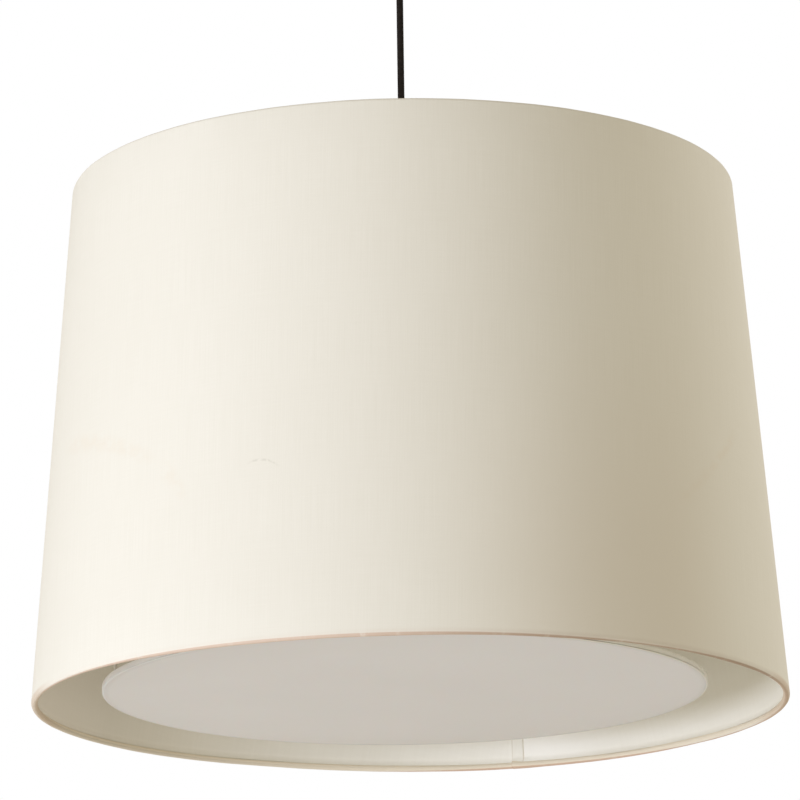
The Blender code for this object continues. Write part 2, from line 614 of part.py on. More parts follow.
def make_hub():
    bore = STEM_RADIUS + SEAT
    inner = HUB_RADIUS - HUB_WALL
    start = ARM_AZIMUTHS[0] + math.pi / HUB_SEGMENTS
    profile = [(bore, HUB_TOP_Z), (HUB_RADIUS - HUB_CHAMFER, HUB_TOP_Z),
               (HUB_RADIUS, HUB_TOP_Z - HUB_CHAMFER), (HUB_RADIUS, HUB_BOTTOM_Z), (inner, HUB_BOTTOM_Z),
               (inner, HUB_TOP_Z - HUB_CHAMFER), (inner - HUB_CHAMFER + HUB_WALL, HUB_TOP_Z - HUB_WALL),
               (bore, HUB_TOP_Z - HUB_WALL)]
    housing = turned("hub_housing", profile, HUB_SEGMENTS, WHITE_PAINT, start=start)
    holes = bmesh.new()
    for azimuth in ARM_AZIMUTHS:
        add_cylinder(holes, polar(inner - CUT_OVERRUN, azimuth, ARM_Z),
                     polar(HUB_RADIUS + CUT_OVERRUN, azimuth, ARM_Z), ARM_RADIUS + SEAT, LAMP_SEGMENTS)
    combine(housing, cutter("hub_arm_holes", holes), "DIFFERENCE")
    rim = HUB_BOTTOM_Z - SEAT
    lip = inner - SEAT
    section = [(0, rim - HUB_WALL), (HUB_RADIUS - HUB_WALL, rim - HUB_WALL), (HUB_RADIUS, rim), (lip, rim),
               (lip, rim + COVER_LIP_HEIGHT), (lip - HUB_WALL, rim + COVER_LIP_HEIGHT), (lip - HUB_WALL, rim),
               (0, rim)]
    cover = turned("hub_cover", section, HUB_SEGMENTS, WHITE_PAINT, closed=False, start=start)
    nut_z = HUB_TOP_Z - HUB_WALL - SEAT - STEM_NUT_HEIGHT
    nut = hex_nut("hub_nut", STEM_RADIUS + SEAT, STEM_NUT_FLATS, STEM_NUT_HEIGHT, ZINC_STEEL,
                  (0, 0, nut_z))
    # A six-sided junction block faces each arm with a flat
    corner = JUNCTION_FLATS / math.cos(math.pi / 6)
    chamfer = JUNCTION_CHAMFER
    block_top = ARM_Z + JUNCTION_HEIGHT / 2
    block_bottom = block_top - JUNCTION_HEIGHT
    side = [(0, block_bottom), (corner - chamfer, block_bottom), (corner, block_bottom + chamfer),
            (corner, block_top - chamfer), (corner - chamfer, block_top), (0, block_top)]
    block = turned("hub_junction_block", side, 6, WHITE_NYLON, closed=False,
                   start=ARM_AZIMUTHS[0] + math.pi / 6)
    tail = straight_cord("cord_lamp_tail", LAMP_PIVOT_Z - end_gap(SHADE_SWING), block_top + SEAT, DARK_CORD)
    return [housing, cover, nut, block, tail]


def arm_line(start_radius, end_trim):
    # The arm's centre line in its own upright plane: out of the hub, a bend, then straight
    bend_start = HUB_RADIUS + ARM_STRAIGHT
    centre = (bend_start, ARM_Z - ARM_BEND_RADIUS)
    line = [(start_radius, ARM_Z)]
    line += arc(centre, ARM_BEND_RADIUS, math.pi / 2, math.pi / 2 - LAMP_TILT, ARM_BEND_STEPS)
    last = line[-1]
    tail = ARM_TAIL - end_trim
    line.append((last[0] + tail * math.cos(LAMP_TILT), last[1] - tail * math.sin(LAMP_TILT)))
    return line


def bent_tube(name, line, azimuth, radius, resolution, look):
    curve = bpy.data.curves.new(name, "CURVE")
    curve.dimensions = "3D"
    curve.bevel_depth = radius
    curve.bevel_resolution = resolution
    spline = curve.splines.new("POLY")
    spline.points.add(len(line) - 1)
    for point, (along, height) in zip(spline.points, line):
        point.co = (*polar(along, azimuth, height), 1)
    curve.materials.append(look)
    made = bpy.data.objects.new(name, curve)
    bpy.context.scene.collection.objects.link(made)
    return made


def holder_place(azimuth):
    # Where the holder's back lies on the arm, and the turn that points +Z along the lamp
    along, height = arm_line(HUB_RADIUS, ARM_INSIDE_HOLDER)[-1]
    return polar(along, azimuth, height), (0, math.pi / 2 + LAMP_TILT, azimuth)


def make_arm(index, azimuth):
    inner = HUB_RADIUS - HUB_WALL
    arm = bent_tube(f"lampholder_arm_{index}", arm_line(inner - ARM_INSIDE_HUB, 0), azimuth,
                    ARM_RADIUS, TUBE_BEVEL_STEPS, WHITE_PAINT)
    wall = arm.modifiers.new("wall", "SOLIDIFY")
    wall.thickness = ARM_WALL
    wall.offset = -1
    wall.use_even_offset = True
    # The nut bears on the hub's wall with its rim, because that wall curves away
    flat = inner * math.cos(math.pi / HUB_SEGMENTS)
    nut_face = math.sqrt(flat ** 2 - (ARM_NUT_RADIUS / math.cos(math.pi / 6)) ** 2) - SEAT
    nut = hex_nut(f"arm_nut_{index}", ARM_RADIUS + SEAT, ARM_NUT_RADIUS, ARM_NUT_HEIGHT, ZINC_STEEL,
                  polar(nut_face - ARM_NUT_HEIGHT, azimuth, ARM_Z), (0, math.pi / 2, azimuth))
    insert_gap = INSERT_START - SEAT - ARM_INSIDE_HOLDER
    lead = bent_tube(f"lampholder_lead_{index}", arm_line(JUNCTION_FLATS + SEAT, -insert_gap), azimuth,
                     LEAD_RADIUS, TUBE_BEVEL_STEPS, WHITE_NYLON)
    lead.data.use_fill_caps = True
    return [arm, nut, lead]


def make_lampholder(index, azimuth):
    place, turn = holder_place(azimuth)
    inside = HOLDER_RADIUS - HOLDER_WALL
    bore = ARM_RADIUS + SEAT
    section = [(bore, 0), (HOLDER_BACK_RADIUS, 0), (HOLDER_RADIUS, HOLDER_SHOULDER),
               (HOLDER_RADIUS, HOLDER_LENGTH), (inside, HOLDER_LENGTH),
               (inside, HOLDER_SHOULDER + HOLDER_WALL / 2),
               (HOLDER_BACK_RADIUS - HOLDER_WALL, HOLDER_BACK_WALL), (bore, HOLDER_BACK_WALL)]
    shell = turned(f"lampholder_shell_{index}", section, LAMP_SEGMENTS, WHITE_PAINT,
                   location=place, rotation=turn)
    socket = THREAD_RADIUS + THREAD_CLEARANCE
    end = INSERT_START + INSERT_LENGTH
    floor = INSERT_START + INSERT_FLOOR
    core = [(0, INSERT_START), (inside - SEAT, INSERT_START), (inside - SEAT, end), (socket, end),
            (socket, floor), (0, floor)]
    insert = turned(f"lampholder_insert_{index}", core, LAMP_SEGMENTS, PORCELAIN, closed=False,
                    location=place, rotation=turn)
    return [shell, insert]


def glass_outline(neck, reach, wall):
    # A cone from the neck that runs into a ball, drawn a wall's thickness inside the outer one
    ball = GLASS_RADIUS - wall
    neck_radius = GLASS_NECK_RADIUS - wall
    centre = reach - GLASS_RADIUS
    run = centre - neck
    slope = math.asin(ball / math.hypot(run, neck_radius)) - math.atan2(neck_radius, run)
    return [(neck_radius, neck)] + arc((0, centre), ball, -slope, math.pi / 2, GLASS_STEPS)


def make_lamp(index, azimuth):
    place, turn = holder_place(azimuth)
    base = INSERT_START + INSERT_FLOOR + SEAT
    tip_end = base + TIP_LENGTH
    edge = TIP_LENGTH - CONTACT_HEIGHT
    section = [(0, base), (CONTACT_RADIUS, base), (CONTACT_RADIUS, base + CONTACT_HEIGHT),
               (TIP_RADIUS, base + CONTACT_HEIGHT + edge / 2), (TIP_RADIUS, tip_end), (0, tip_end)]
    tip = turned(f"lamp_{index}_tip", section, LAMP_SEGMENTS, BLACK_GLASS, closed=False,
                 location=place, rotation=turn)
    cap_start = tip_end + SEAT
    cap_end = cap_start + CAP_LENGTH
    inside = THREAD_RADIUS - CAP_WALL
    shell = [(0, cap_start), (CAP_BACK_RADIUS, cap_start), (THREAD_RADIUS, cap_start + CAP_SHOULDER),
             (THREAD_RADIUS, cap_end), (inside, cap_end), (inside, cap_start + CAP_SHOULDER + CAP_WALL),
             (CAP_BACK_RADIUS - CAP_WALL, cap_start + CAP_WALL), (0, cap_start + CAP_WALL)]
    cap = turned(f"lamp_{index}_cap", shell, LAMP_SEGMENTS, CAP_METAL, closed=False,
                 location=place, rotation=turn)
    neck = cap_end + SEAT
    reach = base + LAMP_LENGTH
    outline = glass_outline(neck, reach, 0)[::-1] + glass_outline(neck, reach, GLASS_WALL)
    globe = turned(f"lamp_{index}_globe", outline, LAMP_SEGMENTS, OPAL_GLASS, closed=False,
                   location=place, rotation=turn)
    hold(empty(f"lamp_{index}_axis", place, turn), [tip, cap, globe])


# Diffuser and its rods

def make_rod(index, azimuth):
    head = polar(ROD_HEAD_RADIUS, azimuth, TOP_RING_Z)
    foot = DIFFUSER_CENTRE + polar(ROD_FOOT_RADIUS, azimuth, TAB_MIDDLE_Z)
    axis = head - foot
    turn = axis.to_track_quat("Z", "Y").to_euler()
    low = -(TAB_THICKNESS / 2 + SEAT + GROMMET_FLANGE_HEIGHT + ROD_FOOT_END)
    collar_top = axis.length - SPOKE_THICKNESS / 2 - SEAT
    nut_base = axis.length + SPOKE_THICKNESS / 2 + SEAT
    top = nut_base + ROD_NUT_HEIGHT + ROD_END
    tip = ROD_RADIUS / 2
    section = [(0, low), (tip, low), (ROD_RADIUS, low + tip), (ROD_RADIUS, collar_top - ROD_COLLAR_HEIGHT),
               (ROD_COLLAR_RADIUS, collar_top - ROD_COLLAR_HEIGHT), (ROD_COLLAR_RADIUS, collar_top),
               (ROD_RADIUS, collar_top), (ROD_RADIUS, top), (0, top)]
    rod = turned(f"hanger_rod_{index}", section, SMALL_SEGMENTS, ZINC_STEEL, closed=False,
                 location=foot, rotation=turn)
    nut = hex_nut(f"hanger_nut_{index}", ROD_RADIUS + SEAT, ROD_NUT_FLATS, ROD_NUT_HEIGHT, ZINC_STEEL,
                  foot + axis.normalized() * nut_base, turn)
    return [rod, nut]


def make_hoop():
    # A plain band with three tabs turned inward at its top, each with a hole for a grommet
    outer = DIFFUSER_RADIUS
    section = [(HOOP_INNER_RADIUS, HOOP_BOTTOM_Z), (outer, HOOP_BOTTOM_Z), (outer, HOOP_TOP_Z),
               (HOOP_INNER_RADIUS, HOOP_TOP_Z)]
    hoop = turned("diffuser_hoop", section, SHADE_SEGMENTS, WHITE_PAINT,
                  start=FIRST_SPOKE_AZIMUTH + math.pi / SHADE_SEGMENTS, location=DIFFUSER_CENTRE)
    root = outer - HOOP_WALL / 2
    half = TAB_HALF_WIDTH
    outline = [(root, half)]
    outline += arc((ROD_FOOT_RADIUS, 0), half, math.pi / 2, 3 * math.pi / 2, HEM_STEPS)
    outline.append((root, -half))
    tabs = bmesh.new()
    holes = bmesh.new()
    for azimuth in SPOKE_AZIMUTHS:
        turn = Matrix.Rotation(azimuth, 3, "Z")
        corners = [DIFFUSER_CENTRE + turn @ Vector((x, y, TAB_BOTTOM_Z)) for x, y in outline]
        face = tabs.faces.new([tabs.verts.new(corner) for corner in corners])
        grown = bmesh.ops.extrude_face_region(tabs, geom=[face])
        raised = [item for item in grown["geom"] if isinstance(item, bmesh.types.BMVert)]
        bmesh.ops.translate(tabs, verts=raised, vec=(0, 0, TAB_THICKNESS))
        start = DIFFUSER_CENTRE + polar(ROD_FOOT_RADIUS, azimuth, TAB_BOTTOM_Z - CUT_OVERRUN)
        lift = Vector((0, 0, TAB_THICKNESS + 2 * CUT_OVERRUN))
        add_cylinder(holes, start, start + lift, GROMMET_BARREL_RADIUS + SEAT, SMALL_SEGMENTS)
    combine(hoop, cutter("hoop_tabs", tabs), "UNION")
    combine(hoop, cutter("tab_holes", holes), "DIFFERENCE")
    return hoop


def make_grommet(index, azimuth):
    foot = DIFFUSER_CENTRE + polar(ROD_FOOT_RADIUS, azimuth, TAB_MIDDLE_Z)
    bore = ROD_RADIUS + SEAT
    tab = TAB_THICKNESS / 2 + SEAT
    end = tab + GROMMET_FLANGE_HEIGHT
    section = [(bore, -end), (GROMMET_FLANGE_RADIUS + SEAT, -end), (GROMMET_FLANGE_RADIUS + SEAT, -tab),
               (GROMMET_BARREL_RADIUS, -tab), (GROMMET_BARREL_RADIUS, tab), (GROMMET_FLANGE_RADIUS, tab),
               (GROMMET_FLANGE_RADIUS, end), (bore, end)]
    return turned(f"diffuser_grommet_{index}", section, SMALL_SEGMENTS, WHITE_NYLON, location=foot)


def make_disc():
    # The full disc fits inside the hoop, and its thinner edge reaches out under the hoop
    inside = HOOP_INNER_RADIUS - SEAT
    edge = DIFFUSER_RADIUS - DISC_EDGE_MARGIN
    edge_top = DISC_FACE_Z + DISC_EDGE_THICKNESS
    section = [(0, DISC_FACE_Z), (edge - DISC_CHAMFER, DISC_FACE_Z), (edge, DISC_FACE_Z + DISC_CHAMFER),
               (edge, edge_top), (inside, edge_top), (inside, DISC_TOP_Z), (0, DISC_TOP_Z)]
    return turned("diffuser_disc", section, SHADE_SEGMENTS, OPAL_ACRYLIC, closed=False,
                  start=FIRST_SPOKE_AZIMUTH + math.pi / SHADE_SEGMENTS, location=DIFFUSER_CENTRE)


def main():
    make_ceiling_set()
    free_cord = straight_cord("power_cord", CEILING_PIVOT_Z, LAMP_PIVOT_Z, DARK_CORD)
    hold(empty("ceiling_pivot", (0, 0, CEILING_PIVOT_Z)), [free_cord])
    hanging = [make_fabric(), make_lining(), make_bottom_ring(), make_top_ring(), make_spider()]
    hanging.append(cord_grip("lamp_cord_grip", LAMP_GRIP_BASE, 1, BLACK_PLASTIC))
    hanging += make_hub()
    for index, azimuth in enumerate(ARM_AZIMUTHS, 1):
        hanging += make_arm(index, azimuth)
        hanging += make_lampholder(index, azimuth)
    diffuser = [make_disc(), make_hoop()]
    for index, azimuth in enumerate(SPOKE_AZIMUTHS, 1):
        hanging += make_rod(index, azimuth)
        diffuser.append(make_grommet(index, azimuth))
    hold(empty("lamp_pivot", (0, 0, LAMP_PIVOT_Z)), hanging)
    hold(empty("diffuser_slide", (DIFFUSER_SHIFT, 0, HOOP_BOTTOM_Z)), diffuser)
    for index, azimuth in enumerate(ARM_AZIMUTHS, 1):
        make_lamp(index, azimuth)
    bpy.context.view_layer.update()


main()
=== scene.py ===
# Pendant light: a slubbed drum shade on a braided cord, with three lamps and an opal diffuser inside
import math

import bmesh
import bpy
from mathutils import Matrix, Vector


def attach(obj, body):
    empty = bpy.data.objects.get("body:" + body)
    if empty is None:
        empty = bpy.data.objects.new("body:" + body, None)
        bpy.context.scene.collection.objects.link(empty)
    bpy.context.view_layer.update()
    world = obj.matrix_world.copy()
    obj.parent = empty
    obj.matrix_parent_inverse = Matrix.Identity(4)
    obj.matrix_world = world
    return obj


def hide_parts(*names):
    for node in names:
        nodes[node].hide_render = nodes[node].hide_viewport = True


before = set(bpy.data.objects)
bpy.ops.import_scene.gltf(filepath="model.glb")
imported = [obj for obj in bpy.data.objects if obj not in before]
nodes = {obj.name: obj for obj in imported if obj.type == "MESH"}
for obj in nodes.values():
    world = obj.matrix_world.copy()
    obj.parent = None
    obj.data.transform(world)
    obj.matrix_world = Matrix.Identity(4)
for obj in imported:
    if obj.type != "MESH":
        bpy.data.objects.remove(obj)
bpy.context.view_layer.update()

tau = math.tau


# camera
photo = {
    "place": (0.0, -4.201, -1.4705),
    "pitch": 13.9591,  # degrees up from level
    "roll": -0.80,
    "yaw": -0.0615,
    "lens": 234.43,  # on a 36 mm sensor
}


def placeCamera():
    pitch, roll, yaw = (math.radians(photo[k]) for k in ("pitch", "roll", "yaw"))
    ahead = Vector((math.sin(yaw) * math.cos(pitch), math.cos(yaw) * math.cos(pitch), math.sin(pitch)))
    level = Vector((math.cos(yaw), -math.sin(yaw), 0))
    upright = level.cross(ahead)
    right = math.cos(roll) * level + math.sin(roll) * upright
    up = -math.sin(roll) * level + math.cos(roll) * upright
    data = bpy.data.cameras.new("camera")
    data.lens = photo["lens"]
    data.sensor_width = 36
    data.clip_start = 0.1
    data.clip_end = 100
    eye = bpy.data.objects.new("camera", data)
    aimed = Matrix((right, up, -ahead)).transposed()
    eye.matrix_world = Matrix.Translation(photo["place"]) @ aimed.to_4x4()
    bpy.context.scene.collection.objects.link(eye)
    bpy.context.scene.camera = eye


placeCamera()
print("camera placed")


# shader helpers
class Wire:
    # one output socket; Python's operators add Math nodes
    def __init__(self, graph, socket):
        self.graph = graph
        self.socket = socket

    def __add__(self, other):
        return self.graph.maths("ADD", self, other)

    def __sub__(self, other):
        return self.graph.maths("SUBTRACT", self, other)

    def __rsub__(self, other):
        return self.graph.maths("SUBTRACT", other, self)

    def __mul__(self, other):
        return self.graph.maths("MULTIPLY", self, other)

    def __neg__(self):
        return self.graph.maths("MULTIPLY", self, -1.0)

    __radd__ = __add__
    __rmul__ = __mul__

    def sine(self):
        return self.graph.maths("SINE", self)

    def cosine(self):
        return self.graph.maths("COSINE", self)

    def size(self):
        return self.graph.maths("ABSOLUTE", self)

    def most(self, other):
        return self.graph.maths("MAXIMUM", self, other)

    def step(self, low, high):
        # 0 below low, 1 above high, smooth between
        return self.graph.add("ShaderNodeMapRange", {"interpolation_type": "SMOOTHSTEP"},
                              {"Value": self, "From Min": low, "From Max": high})

    def within(self, middle, width, solid):
        # 1 within a share of width from middle, fading to 0 at width
        return 1 - ((self - middle).size() * (1 / width)).step(solid, 1.0)

    def sibling(self, name):
        return Wire(self.graph, self.socket.node.outputs[name])


class Graph:
    def __init__(self, tree):
        self.tree = tree

    def plug(self, value, socket):
        if isinstance(value, Wire):
            self.tree.links.new(value.socket, socket)
        elif socket.type == "RGBA":
            socket.default_value = (*value, 1.0)
        else:
            socket.default_value = value

    def add(self, kind, settings=None, sockets=None):
        node = self.tree.nodes.new(kind)
        for key, value in (settings or {}).items():
            if key == "stops":
                ramp = node.color_ramp
                while len(ramp.elements) < len(value):
                    ramp.elements.new(1.0)
                for element, (at, colour) in zip(ramp.elements, value):
                    element.position = at
                    element.color = (*colour, 1.0)
            else:
                setattr(node, key, value)
        for key, value in (sockets or {}).items():
            if isinstance(key, int):
                self.plug(value, node.inputs[key])
            else:
                self.plug(value, next(s for s in node.inputs if s.name == key and s.enabled))
        live = [s for s in node.outputs if s.enabled]
        return Wire(self, live[0]) if live else None

    def maths(self, kind, a, b=None):
        return self.add("ShaderNodeMath", {"operation": kind}, {0: a} if b is None else {0: a, 1: b})

    def mix(self, share, a, b, way="MIX"):
        return self.add("ShaderNodeMix", {"data_type": "RGBA", "blend_type": way},
                        {"Factor": share, "A": a, "B": b})

    def vector(self, x, y, z):
        return self.add("ShaderNodeCombineXYZ", None, {"X": x, "Y": y, "Z": z})


class Paint(Graph):
    def __init__(self, name, **flat):
        self.material = bpy.data.materials.new(name)
        self.material.use_nodes = True
        super().__init__(self.material.node_tree)
        self.shader = self.tree.nodes["Principled BSDF"]
        for key, value in flat.items():
            self.plug(value, self.shader.inputs[key.replace("_", " ")])
        self.place = self.add("ShaderNodeTexCoord").sibling("Object")

    def axes(self):
        split = self.add("ShaderNodeSeparateXYZ", None, {0: self.place})
        return split.sibling("X"), split.sibling("Y"), split.sibling("Z")

    def noise(self, scale, detail=3.0, rough=0.5, source=None):
        values = {"Vector": source or self.place, "Scale": scale, "Detail": detail, "Roughness": rough}
        return self.add("ShaderNodeTexNoise", None, values)

    def streak(self, across, along, width, length, detail=2.0):
        # noise drawn out along the yarns
        return self.noise(1.0, detail, 0.55, self.vector(across * (1 / width), along * (1 / length), 0.0))

    def colour(self, value):
        self.plug(value, self.shader.inputs["Base Color"])

    def rough(self, value):
        self.plug(value, self.shader.inputs["Roughness"])

    def glow(self, value):
        self.plug(value, self.shader.inputs["Emission Color"])

    def bump(self, height, depth, strength=1.0):
        made = self.add("ShaderNodeBump", None, {"Height": height, "Distance": depth, "Strength": strength})
        self.plug(made, self.shader.inputs["Normal"])


# mesh helpers
def link(name, bm, looks, smooth=40):
    bmesh.ops.recalc_face_normals(bm, faces=bm.faces)
    mesh = bpy.data.meshes.new(name)
    bm.to_mesh(mesh)
    bm.free()
    for look in looks:
        mesh.materials.append(look.material)
    mesh.shade_smooth()
    mesh.set_sharp_from_angle(angle=math.radians(smooth))
    made = bpy.data.objects.new(name, mesh)
    bpy.context.scene.collection.objects.link(made)
    return made


def around(count, start=0.0):
    return [start + tau * i / count for i in range(count)]


def between(angle, other):
    # how far angle is from other, -pi to pi
    return (angle - other + math.pi) % tau - math.pi


def ease(value, start, end):
    # 0 at start, 1 at end, smooth between
    t = min(1.0, max(0.0, (value - start) / (end - start)))
    return t * t * (3 - 2 * t)


def polar(radius, azimuth, height):
    return Vector((radius * math.cos(azimuth), radius * math.sin(azimuth), height))


def turn(name, section, spots, looks, place=None, lookOf=None, smooth=40):
    # section is a closed loop of (radius, height), or a function of the azimuth that gives one;
    # a point at radius 0 is the same one all round, and two of them end an open loop on the axis
    place = place or Matrix.Identity(4)
    bm = bmesh.new()
    rings = []
    poles = {}
    for spot in spots:
        loop = section(spot) if callable(section) else section
        ring = []
        for i, (r, z) in enumerate(loop):
            if r == 0:
                if i not in poles:
                    poles[i] = bm.verts.new(place @ Vector((0, 0, z)))
                ring.append(poles[i])
            else:
                ring.append(bm.verts.new(place @ polar(r, spot, z)))
        rings.append(ring)
    count = len(rings[0])
    for here, there in zip(rings, rings[1:] + rings[:1]):
        for i in range(count):
            k = (i + 1) % count
            corners = []
            for vert in (here[i], there[i], there[k], here[k]):
                if vert not in corners:
                    corners.append(vert)
            if len(corners) > 2:
                face = bm.faces.new(corners)
                if lookOf:
                    face.material_index = lookOf(i)
    return link(name, bm, looks, smooth)


def rounded(points, radius, steps=3, keep=()):
    # rounds the corners of a closed loop; points on the axis and those in keep stay sharp
    loop = []
    for i, point in enumerate(points):
        here = Vector(point)
        to = Vector(points[i - 1]) - here
        on = Vector(points[(i + 1) % len(points)]) - here
        corner = to.angle(on) if to.length and on.length else math.pi
        if point[0] == 0 or i in keep or corner > math.radians(172):
            loop.append(point)
            continue
        back = min(radius / math.tan(corner / 2), to.length * 0.45, on.length * 0.45)
        a, b = here + to.normalized() * back, here + on.normalized() * back
        for n in range(steps + 1):
            t = n / steps
            spot = a * (1 - t) ** 2 + here * 2 * t * (1 - t) + b * t ** 2
            loop.append((spot.x, spot.y))
    return loop


def arcPoints(centre, radius, start, end, steps):
    turns = [start + (end - start) * i / steps for i in range(steps + 1)]
    return [(centre[0] + radius * math.cos(t), centre[1] + radius * math.sin(t)) for t in turns]


def helixHeights(low, high, pitch, steps=8):
    # even heights along a thread, steps to each turn
    count = max(2, round((high - low) / pitch * steps))
    return [low + (high - low) * i / count for i in range(count + 1)]


def thread(radius, depth, pitch, azimuth, heights):
    # points along a right-hand thread, crest at radius
    return [(radius - depth * (0.5 - 0.5 * math.cos(tau * z / pitch - azimuth)), z) for z in heights]


def cut(target, other, way="DIFFERENCE"):
    step = target.modifiers.new("cut", "BOOLEAN")
    step.operation = way
    step.solver = "EXACT"
    step.object = other
    bpy.context.view_layer.update()
    graph = bpy.context.evaluated_depsgraph_get()
    mesh = bpy.data.meshes.new_from_object(target.evaluated_get(graph))
    target.modifiers.clear()
    target.data = mesh
    bpy.data.objects.remove(other)
    mesh.shade_smooth()
    mesh.set_sharp_from_angle(angle=math.radians(35))


def soften(target, width):
    edge = target.modifiers.new("edge", "BEVEL")
    edge.width = width
    edge.segments = 2
    edge.limit_method = "ANGLE"
    edge.angle_limit = math.radians(35)
    edge.harden_normals = True


def bars(ends, radius, sides=32):
    # plain round bars to cut holes with
    bm = bmesh.new()
    for start, end in ends:
        start, end = Vector(start), Vector(end)
        aimed = (end - start).to_track_quat("Z", "Y").to_matrix().to_4x4()
        place = Matrix.Translation((start + end) / 2) @ aimed
        bmesh.ops.create_cone(bm, cap_ends=True, segments=sides, radius1=radius, radius2=radius,
                              depth=(end - start).length, matrix=place)
    return link("bars", bm, [])


def nut(name, flats, bore, height, place):
    # six flats with chamfered corners and a countersunk bore
    def section(azimuth):
        turned = (azimuth + math.pi / 6) % (math.pi / 3) - math.pi / 6
        reach = flats / math.cos(turned)
        top = max(0.0, reach - flats * 0.985) * 0.58
        face = min(reach, flats * 0.96)
        sink = bore * 0.10
        return [(bore + sink, 0), (face, 0), (reach, top), (reach, height - top), (face, height),
                (bore + sink, height), (bore, height - sink), (bore, sink)]

    return turn(name, section, around(96, math.pi / 96), [zinc], place)


def settle(piece, body, node):
    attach(piece, body)
    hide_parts(node)


def repaint(name, paint):
    for entry in nodes[name].material_slots:
        entry.material = paint.material
    return nodes[name]


# the braided cord
cordLook = {
    "radius": 0.0026,
    "braid": 0.0029,  # to the crests of the strands
    "top": -0.0663,
    "length": 0.175,
    "strands": 8,  # each way round
    "lay": 0.0150,  # one turn of a strand
    "relief": 0.00016,
    "dark": (0.0105, 0.0082, 0.0068),
    "light": (0.034, 0.027, 0.022),
}


def braidHeight(azimuth, along):
    # two families of strands, over two and under two
    k = cordLook["strands"]
    a = (azimuth / tau + along / cordLook["lay"]) * k
    b = (azimuth / tau - along / cordLook["lay"]) * k
    over = 0.5 + 0.5 * math.sin((a + b) * math.pi / 2) * math.cos((a - b) * math.pi / 2)
    return abs(math.cos(a * math.pi)) * over + abs(math.cos(b * math.pi)) * (1 - over)


def paintCord():
    paint = Paint("braidedCotton", Roughness=0.95, Specular_IOR_Level=0.08)
    x, y, z = paint.axes()
    spin = paint.maths("ARCTAN2", y, x) * (cordLook["strands"] / tau)
    lay = z * (cordLook["strands"] / cordLook["lay"])
    fibres = paint.noise(1.0, 3.0, 0.6, paint.vector((spin + lay) * 9.0, (spin - lay) * 0.5, z * 60.0))
    cross = paint.noise(1.0, 3.0, 0.6, paint.vector((spin - lay) * 9.0, (spin + lay) * 0.5, z * 60.0))
    patch = paint.noise(420.0, 2.0)
    share = (fibres * 0.5 + cross * 0.5 + patch * 0.4 - 0.45).step(0.0, 0.5)
    paint.colour(paint.mix(share, cordLook["dark"], cordLook["light"]))
    paint.bump(fibres + cross, 0.00008)
    return paint


def makeCord():
    paint = paintCord()
    radius, top, length = cordLook["radius"], cordLook["top"], cordLook["length"]
    bottom = top - length
    steps = 440
    heights = [top - length * i / steps for i in range(steps + 1)]

    def section(azimuth):
        loop = [(0, top)]
        for z in heights:
            # squeezed to its plain thickness where a grip holds it
            free = ease(min(top - z, z - bottom), 0.001, 0.0055)
            crest = radius + (cordLook["braid"] - radius) * free
            loop.append((crest - (1 - braidHeight(azimuth, z)) * cordLook["relief"], z))
        return loop + [(0, bottom)]

    piece = turn("power_cord_braid", section, around(56), [paint], smooth=60)
    settle(piece, "cord", "power_cord")
    for name in ("cord_ceiling_tail", "cord_lamp_tail"):
        repaint(name, paint)


makeCord()
print("cord braided")


# sizes of the shade, which its fabric, lining, hoops and rods share
shade = {
    "lowRadius": 0.3073,  # the wires' own circles
    "lowZ": -0.6827,
    "highRadius": 0.2737,
    "highZ": -0.2521,
    "wire": 0.0018,
    "gap": 0.0003,
    "fabric": 0.0006,
    "lining": 0.0005,
    "seam": math.radians(72.1),
    "hemTurn": math.radians(294),
    "spokes": [math.radians(195.5 + 120 * n) for n in range(3)],
    # the low hoop is a little out of true: lifts with the degrees where each starts, is full, fades and ends
    "sag": [(0.0016, 90, 116, 150, 205), (-0.0010, 36, 56, 78, 94), (-0.0011, 218, 250, 320, 345),
            (0.0010, 288, 303, 310, 335), (-0.0009, 200, 228, 264, 288)],
    "drift": 0.0007,  # and a hair to the right
}
low = Vector((shade["lowRadius"], shade["lowZ"]))
high = Vector((shade["highRadius"], shade["highZ"]))
wallAlong = (high - low).normalized()
wallOut = Vector((wallAlong.y, -wallAlong.x))
wallLength = (high - low).length
lean = math.atan2(wallOut.y, wallOut.x)
hemInside = shade["wire"] + shade["gap"]
hemOutside = hemInside + shade["fabric"]
behind = shade["seam"] - math.pi  # opposite the seam, where the cloth's own azimuth is 0


def wallPoint(along, outward):
    spot = low + wallAlong * along + wallOut * outward
    return (spot.x, spot.y)


def ripple(azimuth, seeds):
    # a few smooth waves round the shade, always the same ones
    return sum(size * math.sin(turns * azimuth + phase) for turns, size, phase in seeds)


def hung(loop, azimuth):
    degrees = math.degrees(azimuth) % 360
    lift = 0
    for size, start, full, fade, end in shade["sag"]:
        lift += size * ease(degrees, start, full) * (1 - ease(degrees, fade, end))
    out = []
    for r, z in loop:
        share = min(1.0, max(0.0, (high.y - z) / (high.y - low.y)))
        out.append((r + shade["drift"] * math.cos(azimuth) * share, z + lift * share ** 3))
    return out


def seamRise(azimuth, full, fade):
    # one end of the cloth lies on the other at the seam: a sharp edge on one side, a soft fall on the other
    away = -between(azimuth, shade["seam"])
    fall = full - seamHalf
    return ease(away, -seamHalf - 0.0008, -seamHalf) * (1 - ease(away, fall, fall + fade))


